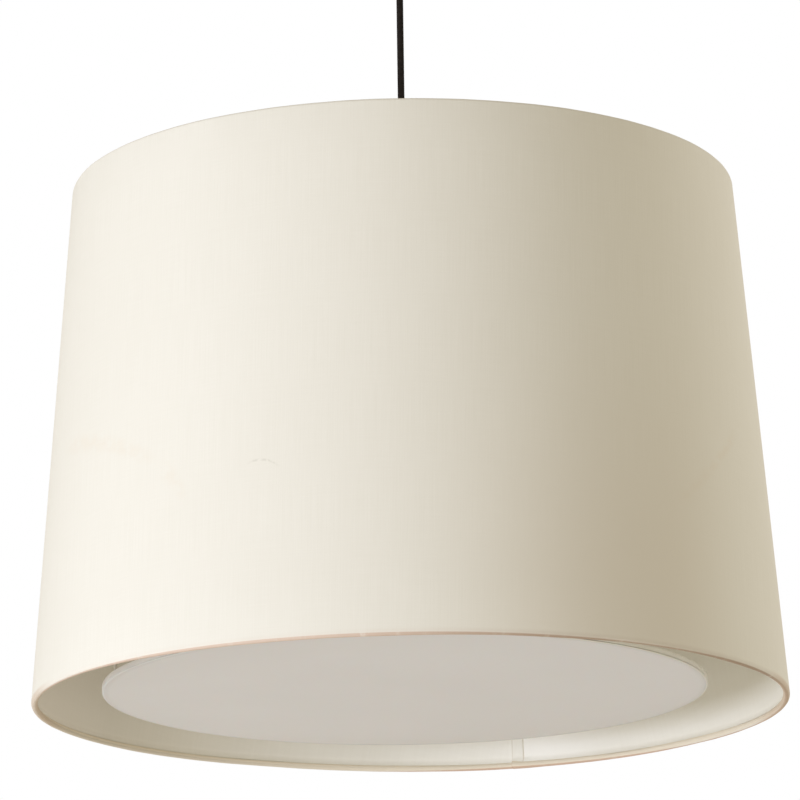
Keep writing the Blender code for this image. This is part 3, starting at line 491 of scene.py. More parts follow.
# the fabric
fabricLook = {
    "overlap": 0.0105,  # seam width outside, metres
    "step": 0.00055,  # how far it rises there
    "corner": 0.0011,  # and at the rolled edge
    "wave": 0.00022,
    "snip": 0.00535,  # half the notch in the top hem for a spoke
    "light": (0.842, 0.797, 0.686),
    "dark": (0.812, 0.766, 0.652),
    "yarn": 0.00062,  # from one yarn to the next
    "relief": 0.00005,
    "stain": (0.80, 0.70, 0.55),
    "stainShare": 0.30,
    "scuff": (0.46, 0.42, 0.31),
    "scuffShare": 0.26,
    # painted shade: the colour the cloth's lower right is painted with
    "tan": (0.785, 0.720, 0.600),
    "hemTone": (0.60, 0.38, 0.26),
    # painted shade: the hem's browned fold, darker on the right
    "hemBrownShaded": (0.40, 0.28, 0.19),
    "hemEnds": (0.62, 0.46, 0.32),
    "hemInside": (0.84, 0.75, 0.585),
    # painted shade: the hem's inner side on the left
    "hemInsideShaded": (0.66, 0.58, 0.45),
    # painted light: the top of the hem's bead
    "hemTopLit": (0.95, 0.85, 0.67),
    # marks through three places on the cone, each (azimuth in degrees, metres above the hem)
    "leftMark": [(199.3, 0.196), (214.6, 0.186), (230.8, 0.153)],
    "rightMark": [(311.0, 0.106), (325.0, 0.160), (336.8, 0.209)],
    "smudge": [(228.5, 0.150), (233.0, 0.137), (236.0, 0.115)],
    "scuffMark": [(245.2, 0.1417), (248.2, 0.1447), (251.2, 0.1366)],
}
seamHalf = fabricLook["overlap"] / 2 / 0.30  # as an angle, at the shade's middle radius


def clothPlace(paint):
    # where a point lay on the flat cut: the cone unrolled, with its cut at the seam
    x, y, z = paint.axes()
    turnedX = x * math.cos(behind) + y * math.sin(behind)
    turnedY = y * math.cos(behind) - x * math.sin(behind)
    azimuth = paint.maths("ARCTAN2", turnedY, turnedX)
    slope = -wallAlong.x
    height = (z - (low.y - hemOutside)) * (1 / wallAlong.y)
    reach = (low.x + hemOutside) / slope - height
    flat = azimuth * slope
    return azimuth, height, reach * flat.sine(), reach * flat.cosine()


def arcMark(azimuth, height, marks, width, fade):
    # a soft line through three places
    (a0, h0), (a1, h1), (a2, h2) = [(between(math.radians(a), behind), h) for a, h in marks]
    first = (h1 - h0) / (a1 - a0)
    second = ((h2 - h1) / (a2 - a1) - first) / (a2 - a0)
    run = azimuth - a0
    line = run * first + run * (azimuth - a1) * second + h0
    return (height - line).within(0.0, width, 0.0) * azimuth.within((a0 + a2) / 2, abs(a2 - a0) / 2, 1 - fade)


def marked(paint, colour, azimuth, height):
    # old water marks and a scuff
    look = fabricLook
    left = arcMark(azimuth, height, look["leftMark"], 0.011, 0.5)
    right = arcMark(azimuth, height, look["rightMark"], 0.009, 0.5)
    smudge = arcMark(azimuth, height, look["smudge"], 0.013, 0.8)
    broken = paint.streak(azimuth, height, 0.045, 0.012).step(0.30, 0.62)
    colour = paint.mix(left.most(right).most(smudge) * broken * look["stainShare"], colour, look["stain"])
    scuff = arcMark(azimuth, height, look["scuffMark"], 0.0017, 0.6)
    rubbed = paint.streak(azimuth, height, 0.012, 0.004).step(0.30, 0.60)
    return paint.mix(scuff * rubbed * look["scuffShare"], colour, look["scuff"])


def hemmed(paint, colour, azimuth):
    # the lower right is painted darker (painted shade), the hem inside has yellowed with its glue, and the
    # fold is rubbed brown, browner and darker on the right (painted shade)
    look = fabricLook
    x, y, z = paint.axes()
    up = z - low.y
    above = up + hemOutside
    # right marks the front right, where the hem is painted browner and darker (painted shade)
    right = x.step(-0.10, 0.16) * (1 - y.step(-0.05, 0.10))
    # painted shade: the lower right of the cloth is painted darker
    shadedLowRight = x.step(0.0, 0.16) * (1 - x.step(0.20, 0.27)) * (1 - y.step(-0.10, 0.10))
    colour = paint.mix(shadedLowRight * (1 - up.step(0.03, 0.30)), colour, look["tan"])
    out = paint.maths("SQRT", x * x + y * y) - low.x
    inward = (-out + up * 0.3 - 0.0002).step(0.0, 0.0012) * (1 - up.step(0.0030, 0.0034))
    # painted shade on the left of the hem's inner side, and painted light along the bead's top
    bead = paint.mix(x.step(-0.22, 0.02), look["hemInsideShaded"], look["hemInside"])
    bead = paint.mix(up.step(0.0007, 0.0020), bead, look["hemTopLit"])
    colour = paint.mix(inward * 0.85, colour, bead)
    # painted shade: the soft band above the fold and the fold line are stronger and browner on the right
    soft = (1 - above.step(0.0008, 0.0050)) * (right * 0.14 + 0.06)
    fold = (1 - above.step(0.0, right * 0.0005 + 0.00042)) * (right * 0.16 + y.step(0.0, 0.15) * 0.18 + 0.56)
    edge = (up - 0.0014).step(0.0, 0.0008) * inward * 0.10
    lapped = azimuth.within(between(shade["seam"] + seamHalf, behind), 0.0022, 0.3) * inward * 0.30
    worn = paint.streak(azimuth, z, 0.030, 0.02, 3.0).step(0.05, 0.45)
    colour = paint.mix((soft + fold + edge + lapped) * worn, colour,
                       paint.mix(right, look["hemTone"], look["hemBrownShaded"]))
    # the hem is browner at the shade's left and right ends
    ends = x.size().step(0.284, 0.304) * (1 - above.step(0.0024, 0.0062))
    return paint.mix(ends * 0.55, colour, look["hemEnds"])


def paintFabric():
    look = fabricLook
    paint = Paint("slubbedFabric", Roughness=0.88, Specular_IOR_Level=0.22, Sheen_Weight=0.04,
                  Sheen_Roughness=0.45)
    azimuth, height, across, along = clothPlace(paint)
    warp = paint.streak(across, along, 0.0009, 0.070)
    weft = paint.streak(along, across, 0.0009, 0.045)
    fine = paint.streak(across, along, 0.00045, 0.018, 1.0)
    cloud = paint.noise(9.0, 2.0)
    slub = (warp * 0.46 + weft * 0.22 + fine * 0.16 + cloud * 0.16).step(0.30, 0.70)
    colour = marked(paint, paint.mix(slub, look["dark"], look["light"]), azimuth, height)
    paint.colour(hemmed(paint, colour, azimuth))
    # plain weave with the slubs standing up in it
    k = math.pi / look["yarn"]
    a, b = (across * k).sine(), (along * k).sine()
    over = a * b * 0.5 + 0.5
    weave = a.size() * over + b.size() * (1 - over)
    paint.bump(weave * 0.8 + warp * 0.8 + weft * 0.5 + fine * 0.5, look["relief"], 0.9)
    paint.rough(slub * -0.10 + 0.93)
    return paint


def fabricSection(azimuth):
    look = fabricLook
    lift = look["step"] * seamRise(azimuth, 0.035, 0.10)
    corner = look["corner"] * seamRise(azimuth, 0.004, 0.030)
    wave = look["wave"] * ripple(azimuth, [(3, 0.5, 0.4), (5, 0.35, 2.1), (8, 0.25, 1.2), (13, 0.15, 4.0)])
    cutEdge = ripple(azimuth, [(7, 0.05, 0.2), (19, 0.035, 1.9), (43, 0.022, 2.7), (71, 0.016, 0.6)])
    swell = 0.00010 * ripple(azimuth, [(11, 0.5, 1.0), (23, 0.4, 2.2), (57, 0.3, 0.1)])
    lowTurn = shade["hemTurn"] - 0.10 + cutEdge
    highTurn = shade["hemTurn"] - 0.10 - cutEdge
    # the top hem is snipped where a spoke reaches the hoop
    if min(abs(between(azimuth, spoke)) for spoke in shade["spokes"]) * high.x < look["snip"]:
        highTurn = math.radians(146)
    steps = 18
    panels = 10

    def hem(centre, side, end, radius):
        out = []
        for i in range(steps + 1):
            t = side * end * i / steps
            raised = 0.0
            if radius > hemInside:
                raised = lift * (0.35 + 0.65 * abs(math.cos(t))) + swell * min(1.0, abs(t) / 0.5)
                if side < 0:
                    raised += corner * ease(abs(t), 2.4, 3.6)
            r = radius + raised
            out.append((centre.x + r * math.cos(lean + t), centre.y + r * math.sin(lean + t)))
        return out

    def wall(outward):
        shares = [i / panels for i in range(1, panels)]
        return [wallPoint(wallLength * t, outward + wave * math.sin(math.pi * t)) for t in shares]

    loop = hem(low, -1, lowTurn, hemOutside)[::-1] + wall(hemOutside + lift)
    loop += hem(high, 1, highTurn, hemOutside) + hem(high, 1, highTurn, hemInside)[::-1]
    loop += wall(hemInside)[::-1] + hem(low, -1, lowTurn, hemInside)
    return hung(loop, azimuth)


def shadeSpots():
    # even columns, with close ones at the seam and beside each spoke
    spots = around(300, shade["seam"] + 0.004)
    edges = [seamHalf + 0.0009, seamHalf + 0.0004, seamHalf, seamHalf - 0.006, 0.006 - seamHalf, -seamHalf,
             -seamHalf - 0.006]
    extra = [shade["seam"] + e for e in edges]
    for spoke in shade["spokes"]:
        for edge in (fabricLook["snip"] - 0.00005, fabricLook["snip"] + 0.00010):
            extra += [spoke + edge / high.x, spoke - edge / high.x]
    for spot in extra:
        spots = [s for s in spots if abs(between(s, spot)) > 0.0045 or s in extra]
        spots.append(spot)
    return sorted(set(s % tau for s in spots))


def makeFabric():
    piece = turn("shade_cloth", fabricSection, shadeSpots(), [paintFabric()], smooth=50)
    settle(piece, "shade", "shade_fabric")


makeFabric()
print("fabric rolled round its hoops")


# the lining
liningLook = {
    "light": (0.835, 0.800, 0.715),
    "dark": (0.815, 0.778, 0.690),
    # painted highlight: the sheet just past the seam
    "litPastSeam": (0.90, 0.868, 0.80),
    "glue": (0.52, 0.42, 0.30),
    "glow": 0.10,  # painted light: a glow for daylight through the cloth, from the left side to the right
    "glowRun": 1.613,  # of the ramp to a metre
    "glowStops": [(0.0, (0.40, 0.27, 0.22)), (0.09, (0.12, 0.08, 0.06)), (0.20, (0.56, 0.52, 0.44)),
                  (0.44, (0.40, 0.40, 0.34)), (0.65, (0.95, 0.97, 0.93)), (0.76, (0.40, 0.40, 0.32)),
                  (0.96, (0.44, 0.42, 0.29))],
    "glowLow": (0.50, 0.47, 0.40),  # painted light: more of the glow just above the hem
    "startEdge": math.radians(71.34),
    "hiddenEdge": math.radians(73.15),
    "step": 0.00055,
    "roll": 0.00286,  # inside it lies on the rolled hem
    "ramp": 0.0055,
}


def liningSection(azimuth):
    look = liningLook
    here = between(azimuth, shade["seam"]) + shade["seam"]
    raised = ease(here, look["startEdge"] - 0.0009, look["startEdge"])
    raised *= 1 - ease(here, look["hiddenEdge"], look["hiddenEdge"] + 0.012)
    raised += 0.16 * math.exp(-((here - look["hiddenEdge"]) / 0.0016) ** 2)
    wave = 0.00015 * ripple(azimuth, [(4, 0.5, 1.4), (9, 0.35, 0.3), (17, 0.2, 2.0)])
    outer = shade["wire"] - 0.00005
    inner = outer - shade["lining"]
    face = inner - look["step"] * raised
    run = wallLength - 2 * hemInside
    panels = 8
    # at the bottom it is glued down over the rolled hem, so that it ends on the roll's inner side
    roll = look["roll"] + 0.0003 * seamRise(azimuth, 0.035, 0.10)
    roll += fabricLook["corner"] * seamRise(azimuth, 0.004, 0.030)
    onRoll = [(roll * math.sin(a), -roll * math.cos(a)) for a in (1.06, 1.26, 1.46, 1.66)]
    foot, tip = onRoll[0]
    loop = [wallPoint(hemInside, inner)]
    loop += [wallPoint(hemInside + run * i / panels, outer) for i in range(panels + 1)]
    loop.append(wallPoint(hemInside + run, face))
    for i in range(panels - 1, 0, -1):
        t = i / panels
        loop.append(wallPoint(hemInside + run * t, face - wave * math.sin(math.pi * t)))
    for share in (1.0, 0.8, 0.6, 0.4, 0.2):
        loop.append(wallPoint(foot + look["ramp"] * share, face + (tip - face) * (1 - share) ** 2))
    loop += [wallPoint(*spot) for spot in onRoll] + [wallPoint(onRoll[-1][0], inner)]
    return hung(loop, azimuth)


def paintLining():
    look = liningLook
    paint = Paint("liningFilm", Roughness=0.62, Specular_IOR_Level=0.35, Emission_Strength=look["glow"])
    x, y, z = paint.axes()
    # painted light: the lining glows, most on the left, though no lamp is lit
    glow = paint.add("ShaderNodeValToRGB", {"stops": look["glowStops"]}, {0: x * look["glowRun"] + 0.5})
    nearHem = 1 - (z - low.y).step(0.0030, 0.0130)
    paint.glow(paint.mix(nearHem, glow, look["glowLow"], "ADD"))
    azimuth, height, across, along = clothPlace(paint)
    warp = paint.streak(across, along, 0.0030, 0.22)
    weft = paint.streak(along, across, 0.0024, 0.12)
    cloud = paint.noise(7.0, 3.0)
    share = (warp * 0.4 + weft * 0.25 + cloud * 0.35).step(0.35, 0.65)
    edge, ridge = (between(look[key], behind) for key in ("startEdge", "hiddenEdge"))
    # painted highlight: the sheet just past the seam's edge is painted lighter
    litPastSeam = (azimuth - edge + 0.36).step(0.0, 0.32) * (1 - (azimuth - edge).step(-0.004, -0.001))
    colour = paint.mix(litPastSeam, paint.mix(share, look["dark"], look["light"]), look["litPastSeam"])
    # a thin line of glue along the overlap's edge
    glue = azimuth.within(edge - 0.0006, 0.0026, 0.3) * 0.50 + azimuth.within(ridge, 0.0026, 0.3) * 0.40
    worn = paint.streak(azimuth, height, 0.02, 0.05, 3.0)
    paint.colour(paint.mix(glue * worn.step(0.1, 0.6), colour, look["glue"]))
    paint.bump(warp * 0.6 + weft * 0.4 + cloud * 0.3, 0.00003, 0.7)
    return paint


def makeLining():
    first, last = liningLook["startEdge"], liningLook["hiddenEdge"]
    shifts = (-0.0010, -0.0005, 0.0, 0.0008, 0.0022, 0.0045, 0.008, 0.013)
    extra = [edge + shift for edge in (first, last) for shift in shifts]
    kept = [s for s in around(240, 0.004) if not first - 0.012 < s < last + 0.020]
    spots = sorted(kept + extra)
    piece = turn("shade_lining_film", liningSection, spots, [paintLining()], smooth=50)
    settle(piece, "shade", "shade_lining")


makeLining()
print("lining lapped at its seam")


# finishes of the hard pieces: colour, colour where worn or dull, roughness
finishes = {
    "whitePowderCoat": ((0.80, 0.775, 0.715), (0.52, 0.50, 0.46), 0.44),
    "blackPaintedSteel": ((0.016, 0.0150, 0.0145), (0.05, 0.047, 0.043), 0.48),
    # a whiter copy of the powder coat for the hoop, lightened to stand for light it gets: painted light
    "rimLightened": ((0.90, 0.875, 0.80), (0.52, 0.50, 0.46), 0.40),
    "brightZinc": ((0.88, 0.86, 0.81), (0.66, 0.66, 0.63), 0.42),
    "zincPlate": ((0.66, 0.66, 0.63), (0.44, 0.44, 0.42), 0.36),
    "nickelCap": ((0.70, 0.68, 0.62), (0.42, 0.40, 0.36), 0.30),
    "solderPip": ((0.50, 0.50, 0.50), (0.3, 0.3, 0.3), 0.42),
    "blackNylonGrip": ((0.018, 0.0170, 0.0165), (0.034, 0.031, 0.029), 0.46),
    "naturalNylon": ((0.79, 0.77, 0.70), (0.84, 0.82, 0.76), 0.50),
    "glazedPorcelain": ((0.83, 0.82, 0.78), (0.78, 0.76, 0.70), 0.18),
    "blackInsulatorGlass": ((0.010, 0.010, 0.012), (0.02, 0.02, 0.022), 0.12),
    "opalGlobeGlass": ((0.88, 0.87, 0.83), (0.86, 0.84, 0.79), 0.26),
}
rimLit = (0.96, 0.93, 0.905)  # painted light: the rim's left side, painted whiter than the rest


def coated(name, lit=None):
    # sprayed paint: fine orange peel, slight unevenness, a little dust in the gloss
    colour, worn, rough = finishes[name]
    paint = Paint(name, Roughness=rough, Specular_IOR_Level=0.5)
    if lit:
        # painted light: the left side takes the lit colour
        colour = paint.mix(paint.axes()[0].step(-0.20, 0.05), lit, colour)
    cloud = paint.noise(35.0, 3.0)
    specks = paint.noise(900.0, 2.0)
    paint.colour(paint.mix(cloud.step(0.35, 0.75) * 0.16 + specks.step(0.62, 0.75) * 0.10, colour, worn))
    paint.rough(cloud * 0.14 + (rough - 0.07))
    paint.bump(paint.noise(1600.0, 2.0), 0.00003)
    return paint


def bare(name, grain):
    # plated metal: fine drawn grain and cloudy dulling
    bright, dull, rough = finishes[name]
    paint = Paint(name, Metallic=1.0, Roughness=rough)
    cloud = paint.noise(120.0, 4.0, 0.6)
    drawnOut = paint.add("ShaderNodeVectorMath", {"operation": "MULTIPLY"}, {0: paint.place, 1: grain})
    drawn = paint.noise(1.0, 2.0, 0.5, drawnOut)
    paint.colour(paint.mix(cloud.step(0.35, 0.70) * 0.6, bright, dull))
    paint.rough(cloud * 0.20 + drawn * 0.10 + (rough - 0.15))
    paint.bump(drawn, 0.00002)
    return paint


def moulded(name):
    # moulded plastic: fine spark grain
    colour, pale, rough = finishes[name]
    paint = Paint(name, Roughness=rough, Specular_IOR_Level=0.45)
    cloud = paint.noise(60.0, 2.0)
    paint.colour(paint.mix(cloud.step(0.3, 0.7) * 0.35, colour, pale))
    paint.rough(cloud * 0.12 + (rough - 0.06))
    paint.bump(paint.noise(900.0, 2.0, 0.6), 0.00004)
    return paint


def glassy(name):
    colour, tint, rough = finishes[name]
    paint = Paint(name, Roughness=rough, Specular_IOR_Level=0.5, Coat_Weight=0.3, Coat_Roughness=0.08)
    cloud = paint.noise(22.0, 2.0)
    paint.colour(paint.mix(cloud.step(0.3, 0.7) * 0.4, colour, tint))
    paint.rough(cloud * 0.08 + rough)
    paint.bump(paint.noise(70.0, 2.0, 0.4), 0.00003)
    return paint


whitePaint = coated("whitePowderCoat")
blackPaint = coated("blackPaintedSteel")
blackPlastic = moulded("blackNylonGrip")
rimPaint = coated("rimLightened", rimLit)
paleZinc = bare("brightZinc", (1500, 1500, 90))
zinc = bare("zincPlate", (1500, 1500, 90))
nickel = bare("nickelCap", (700, 700, 700))
solder = bare("solderPip", (300, 300, 300))
nylon = moulded("naturalNylon")
porcelain = glassy("glazedPorcelain")
blackGlass = glassy("blackInsulatorGlass")
opalGlass = glassy("opalGlobeGlass")
print("finishes mixed")


# the frame hoops and the spider
def makeFrame():
    for name, centre, node in (("bottom_hoop", low, "bottom_ring"), ("top_hoop", high, "top_ring")):
        loop = arcPoints(centre, shade["wire"], 0, tau * 11 / 12, 11)
        piece = turn(name, lambda azimuth: hung(loop, azimuth), around(180), [whitePaint])
        settle(piece, "shade", node)
    soften(repaint("top_spider", whitePaint), 0.00035)


# diffuser: a disc whose thin edge reaches out under the hoop, the hoop with its tabs, grommets
diffuser = {
    "radius": 0.2466,
    "shift": -0.0048,
    "rim": 0.2480,  # the hoop and the disc's edge outside, round their own centre
    "rimShift": -0.0038,
    "face": -0.6726,
    "disc": 0.0020,
    "edge": 0.00095,  # the disc's edge, under the hoop
    "bevel": (0.0014, 0.00055),
    "shadowGap": 0.0003,
    "gape": 0.00012,
    "wall": 0.0012,
    "gap": 0.0003,
    "tabThick": 0.0012,
    "tabHalf": 0.0040,
    "tabHole": 0.0029,
    "grommetBore": 0.0018,
    "barrel": 0.0026,
    "flange": 0.0031,
    "flangeThick": 0.0007,
    "rodEnd": 0.0003,
    "rodClear": 0.0005,
    "acrylic": (0.758, 0.729, 0.695),
    "acrylicShaded": (0.718, 0.690, 0.655),
    "dust": (0.69, 0.66, 0.625),
    "edgeTone": (0.56, 0.53, 0.48),
    "bevelTone": (0.76, 0.725, 0.64),
    "bevelPale": (0.76, 0.735, 0.70),
}
discCentre = Matrix.Translation((diffuser["shift"], 0, 0))
rimCentre = Matrix.Translation((diffuser["rimShift"], 0, 0))
hoopBottom = diffuser["face"] + diffuser["edge"] + diffuser["shadowGap"]
tabBottom = (diffuser["face"] + diffuser["disc"] + diffuser["rodClear"] + diffuser["rodEnd"]
             + diffuser["flangeThick"] + diffuser["gap"])
tabMiddle = tabBottom + diffuser["tabThick"] / 2
hoopTop = tabBottom + diffuser["tabThick"]
hoopInside = diffuser["rim"] - diffuser["wall"]
rodFoot = ((diffuser["radius"] - diffuser["wall"]) * math.cos(math.pi / 60)
           - diffuser["flange"] - 2 * diffuser["gap"])
feet = [discCentre @ polar(rodFoot, azimuth, tabMiddle) for azimuth in shade["spokes"]]


def paintDisc():
    d = diffuser
    paint = Paint("opalAcrylic", Roughness=0.42, Specular_IOR_Level=0.42, Subsurface_Weight=0.12,
                  Subsurface_Scale=0.004)
    cloud = paint.noise(5.0, 3.0)
    dust = paint.noise(650.0, 2.0)
    x, y, z = paint.axes()
    # painted shade: the disc is darker towards the right
    whole = paint.mix(x.step(-0.20, 0.24), d["acrylic"], d["acrylicShaded"])
    colour = paint.mix(cloud.step(0.3, 0.7) * 0.30 + dust.step(0.60, 0.78) * 0.12, whole, d["dust"])
    # painted shade: the outermost strip is darker where the hoop keeps light from it, dust gathers against
    # it, and a thin dark line at the edge is stronger on the right
    fromCentre = x - d["rimShift"]
    inset = d["rim"] - d["bevel"][0] - paint.maths("SQRT", fromCentre * fromCentre + y * y)
    right = x.step(-0.20, 0.05)
    wide = 1 - inset.step(0.0020, 0.0055)
    thin = 1 - inset.step(0.0006, 0.0018)
    colour = paint.mix(wide * 0.20 + thin * (right * 0.36 + 0.06), colour, d["edgeTone"])
    # painted light and shade: the bevel is paler on the left and warmer on the right
    bevel = paint.mix(right, d["bevelPale"], d["bevelTone"])
    paint.colour(paint.mix(1 - inset.step(-0.0001, 0.0001), colour, bevel))
    paint.rough(cloud * 0.10 + dust * 0.05 + 0.36)
    paint.bump(cloud * 0.2 + dust * 0.1, 0.00004)
    return paint


def makeDisc():
    d = diffuser
    inside = hoopInside - d["gap"]
    edge = d["rim"] - 0.0001  # a hair inside the hoop's outer face
    across, rise = d["bevel"]
    face, top = d["face"], d["face"] + d["disc"]
    inner = [inside * share for share in (0.35, 0.7, 0.9)]
    loop = [(0, face)] + [(r, face) for r in inner]
    loop += [(edge - across, face), (edge, face + rise), (edge, face + d["edge"])]
    loop += [(inside, face + d["edge"]), (inside, top)] + [(r, top) for r in inner[::-1]] + [(0, top)]
    loop = rounded(loop, 0.00012)
    piece = turn("opal_disc", loop, around(240), [paintDisc()], rimCentre, smooth=18)
    settle(piece, "diffuser", "diffuser_disc")


def makeHoop():
    d = diffuser

    def section(azimuth):
        foot = hoopBottom + d["gape"] * math.cos(azimuth)
        return rounded([(hoopInside, foot), (d["rim"], foot), (d["rim"], hoopTop), (hoopInside, hoopTop)],
                       0.00018)

    hoop = turn("rim_hoop", section, around(240), [rimPaint], rimCentre)
    root = d["radius"] - d["wall"] / 4
    outline = [(root, d["tabHalf"])]
    outline += arcPoints((rodFoot, 0), d["tabHalf"], math.pi / 2, 3 * math.pi / 2, 14)
    outline.append((root, -d["tabHalf"]))
    rise = Vector((0, 0, d["tabThick"] - 0.0001))  # the tabs' tops lie a hair under the hoop's
    bm = bmesh.new()
    for azimuth in shade["spokes"]:
        aimed = discCentre @ Matrix.Rotation(azimuth, 4, "Z")
        face = bm.faces.new([bm.verts.new(aimed @ Vector((x, y, tabBottom))) for x, y in outline])
        grown = bmesh.ops.extrude_face_region(bm, geom=[face])["geom"]
        raised = [item for item in grown if isinstance(item, bmesh.types.BMVert)]
        bmesh.ops.translate(bm, verts=raised, vec=rise)
    cut(hoop, link("tabs", bm, []), "UNION")
    reach = Vector((0, 0, 0.003))
    cut(hoop, bars([(foot - reach, foot + reach) for foot in feet], d["tabHole"]))
    settle(hoop, "diffuser", "diffuser_hoop")


def makeGrommets():
    d = diffuser
    half = d["tabThick"] / 2 + d["gap"]
    end = half + d["flangeThick"]
    bore, barrel, flange = d["grommetBore"], d["barrel"], d["flange"]
    wide = flange + d["gap"]
    loop = [(bore, -end), (wide, -end), (wide, -half), (barrel, -half), (barrel, half),
            (flange, half), (flange, end), (bore, end)]
    for n, foot in enumerate(feet, 1):
        piece = turn(f"nylon_grommet_{n}", rounded(loop, 0.00025), around(40), [nylon],
                     Matrix.Translation(foot))
        settle(piece, "diffuser", f"diffuser_grommet_{n}")


# long hanger rods with a cut thread at each end, and their nuts
rodLook = {
    "radius": 0.0015,
    "head": 0.2414,  # from the shade's axis
    "pitch": 0.0005,
    "threadDepth": 0.00022,
    "runOut": 0.0004,
    "footThread": 0.012,
    "headThread": 0.0075,
    "spokeHalf": 0.001,
    "collarRadius": 0.0030,
    "collarHeight": 0.0020,
    "rounding": 0.0003,
    "nutFlats": 0.00275,
    "nutBore": 0.0018,
    "nutHeight": 0.0024,
    "beyondNut": 0.0012,
}


def makeRod(n, azimuth, foot):
    k = rodLook
    axis = polar(k["head"], azimuth, high.y) - foot
    aimed = axis.to_track_quat("Z", "Y").to_matrix().to_4x4()
    start = -(diffuser["tabThick"] / 2 + diffuser["gap"] + diffuser["flangeThick"] + diffuser["rodEnd"])
    onSpoke = k["spokeHalf"] + shade["gap"]
    collarTop = axis.length - onSpoke
    collarLow = collarTop - k["collarHeight"]
    nutBase = axis.length + onSpoke
    end = nutBase + k["nutHeight"] + k["beyondNut"]
    r, c, soft, run, pitch = k["radius"], k["collarRadius"], k["rounding"], k["runOut"], k["pitch"]
    footEnd = start + k["footThread"]
    headStart = collarLow - k["headThread"]
    threads = [helixHeights(start + run, footEnd, pitch), helixHeights(headStart, collarLow - run, pitch),
               helixHeights(collarTop + 0.0001, end - run, pitch)]

    def section(turned):
        lower, middle, upper = (thread(r, k["threadDepth"], pitch, turned, heights) for heights in threads)
        collar = [(r, collarLow), (c - soft, collarLow), (c, collarLow + soft), (c, collarTop - soft),
                  (c - soft, collarTop), (r, collarTop)]
        return ([(0, start), (r * 0.7, start)] + lower + [(r, footEnd + run), (r, headStart - run)] + middle
                + collar + upper + [(r * 0.7, end), (0, end)])

    piece = turn(f"threaded_rod_{n}", section, around(20), [paleZinc],
                 Matrix.Translation(foot) @ aimed, smooth=50)
    settle(piece, "shade", f"hanger_rod_{n}")
    onTop = Matrix.Translation(foot + axis.normalized() * nutBase) @ aimed
    piece = nut(f"rod_nut_{n}", k["nutFlats"], k["nutBore"], k["nutHeight"], onTop)
    settle(piece, "shade", f"hanger_nut_{n}")


makeFrame()
makeDisc()
makeHoop()
makeGrommets()
for count, (azimuth, foot) in enumerate(zip(shade["spokes"], feet), 1):
    makeRod(count, azimuth, foot)
print("hoops, spider, diffuser and rods made")


# cord grips: a ribbed collar that tapers to its mouth, on a threaded stem with a nut
grips = {
    "stem": 0.005,
    "stemLength": 0.011,
    "pitch": 0.0010,
    "threadDepth": 0.00038,
    "radius": 0.0085,
    "length": 0.026,
    "nose": 0.0070,
    "noseLength": 0.010,
    "mouth": 0.0058,
    "mouthDepth": 0.005,
    "throat": 0.0030,
    "ribs": 20,
    "ribDepth": 0.00028,
    "rounding": 0.0002,
    "nutFlats": 0.0075,
    "nutHeight": 0.004,
    "bore": 0.0053,  # of the nuts, and of the holes for the stems
    "ceilingBase": -0.0453,
    "lampBase": -0.2623,
}


def gripSection(base, side):
    stem, radius, nose, mouth, throat = (grips[k] for k in ("stem", "radius", "nose", "mouth", "throat"))
    end, soft = grips["length"], grips["rounding"]
    pitch = grips["pitch"]
    shoulder = end - grips["noseLength"]
    lip = (mouth + nose) / 2
    stemEnd = -grips["stemLength"]
    heights = helixHeights(stemEnd + 3 * soft, -6 * soft, pitch, 6)

    def section(azimuth):
        # shallow ribs round the collar, to grip it with the fingers
        ribbed = radius - grips["ribDepth"] * (0.5 - 0.5 * math.cos(azimuth * grips["ribs"]))
        loop = [(throat, stemEnd), (stem - 2.5 * soft, stemEnd)]
        loop += thread(stem, grips["threadDepth"], pitch, side * azimuth, heights)
        loop += [(stem - 1.5 * soft, -soft), (stem - 1.5 * soft, 0), (radius - 2 * soft, 0),
                 (radius, 2 * soft), (radius, 11 * soft), (ribbed, 15 * soft), (ribbed, shoulder - 14 * soft),
                 (radius, shoulder - 10 * soft), (radius, shoulder - 2.5 * soft),
                 (radius - soft, shoulder + 2 * soft), (nose, end - (nose - lip) - 2 * soft),
                 (nose - soft, end - soft), (lip, end), (mouth + soft / 2, end),
                 (mouth - soft, end - 1.5 * soft), (throat + 4 * soft, end - grips["mouthDepth"] * 0.72),
                 (throat, end - grips["mouthDepth"])]
        return [(r, base + side * z) for r, z in loop]

    return section


def gripNut(name, height):
    place = Matrix.Translation((0, 0, height))
    return nut(name, grips["nutFlats"], grips["bore"], grips["nutHeight"], place)


# ceiling set: a cup with two side screws, over the bracket
ceiling = {
    "radius": 0.055,
    "depth": 0.045,
    "fillet": 0.009,
    "wall": 0.0012,
    "gap": 0.0005,
    "facets": 32,  # of the solid canopy, whose flats the screws' heads lie on
    "screwZ": -0.0105,
    "screwHole": 0.0018,
    "screwRadius": 0.0015,
    "screwCore": 0.0011,
    "screwTip": 0.042,
    "pitch": 0.0005,
    "threadDepth": 0.00022,
    "head": 0.0032,
    "headHeight": 0.0020,
    "headShares": [(0.9375, 0), (1, 0.10), (1, 0.45), (0.875, 0.75), (0.5625, 0.95), (0.28125, 1), (0, 1)],
    "slot": (0.0080, 0.0007, 0.0013, 1),
    "slotDepth": 0.0017,  # its middle, out from the head's seat
    "slotTurn": 0.7,
    "nutZ": -0.0435,
}


def makeCup():
    c = ceiling
    radius, wall, depth, fillet, bore = c["radius"], c["wall"], c["depth"], c["fillet"], grips["bore"]
    corner = (radius - fillet, -depth + fillet)
    loop = [(bore, -depth)] + arcPoints(corner, fillet, -math.pi / 2, 0, 10)
    loop += [(radius, -c["gap"]), (radius - wall, -c["gap"])]
    loop += arcPoints(corner, fillet - wall, 0, -math.pi / 2, 10) + [(bore, -depth + wall)]
    cup = turn("ceiling_cup", rounded(loop, 0.0003, keep=range(1, 12)), around(128), [blackPaint])
    ends = [[(side * (radius + reach), 0, c["screwZ"]) for reach in (-0.005, 0.005)] for side in (-1, 1)]
    cut(cup, bars(ends, c["screwHole"]))
    settle(cup, "ceiling_set", "ceiling_canopy")


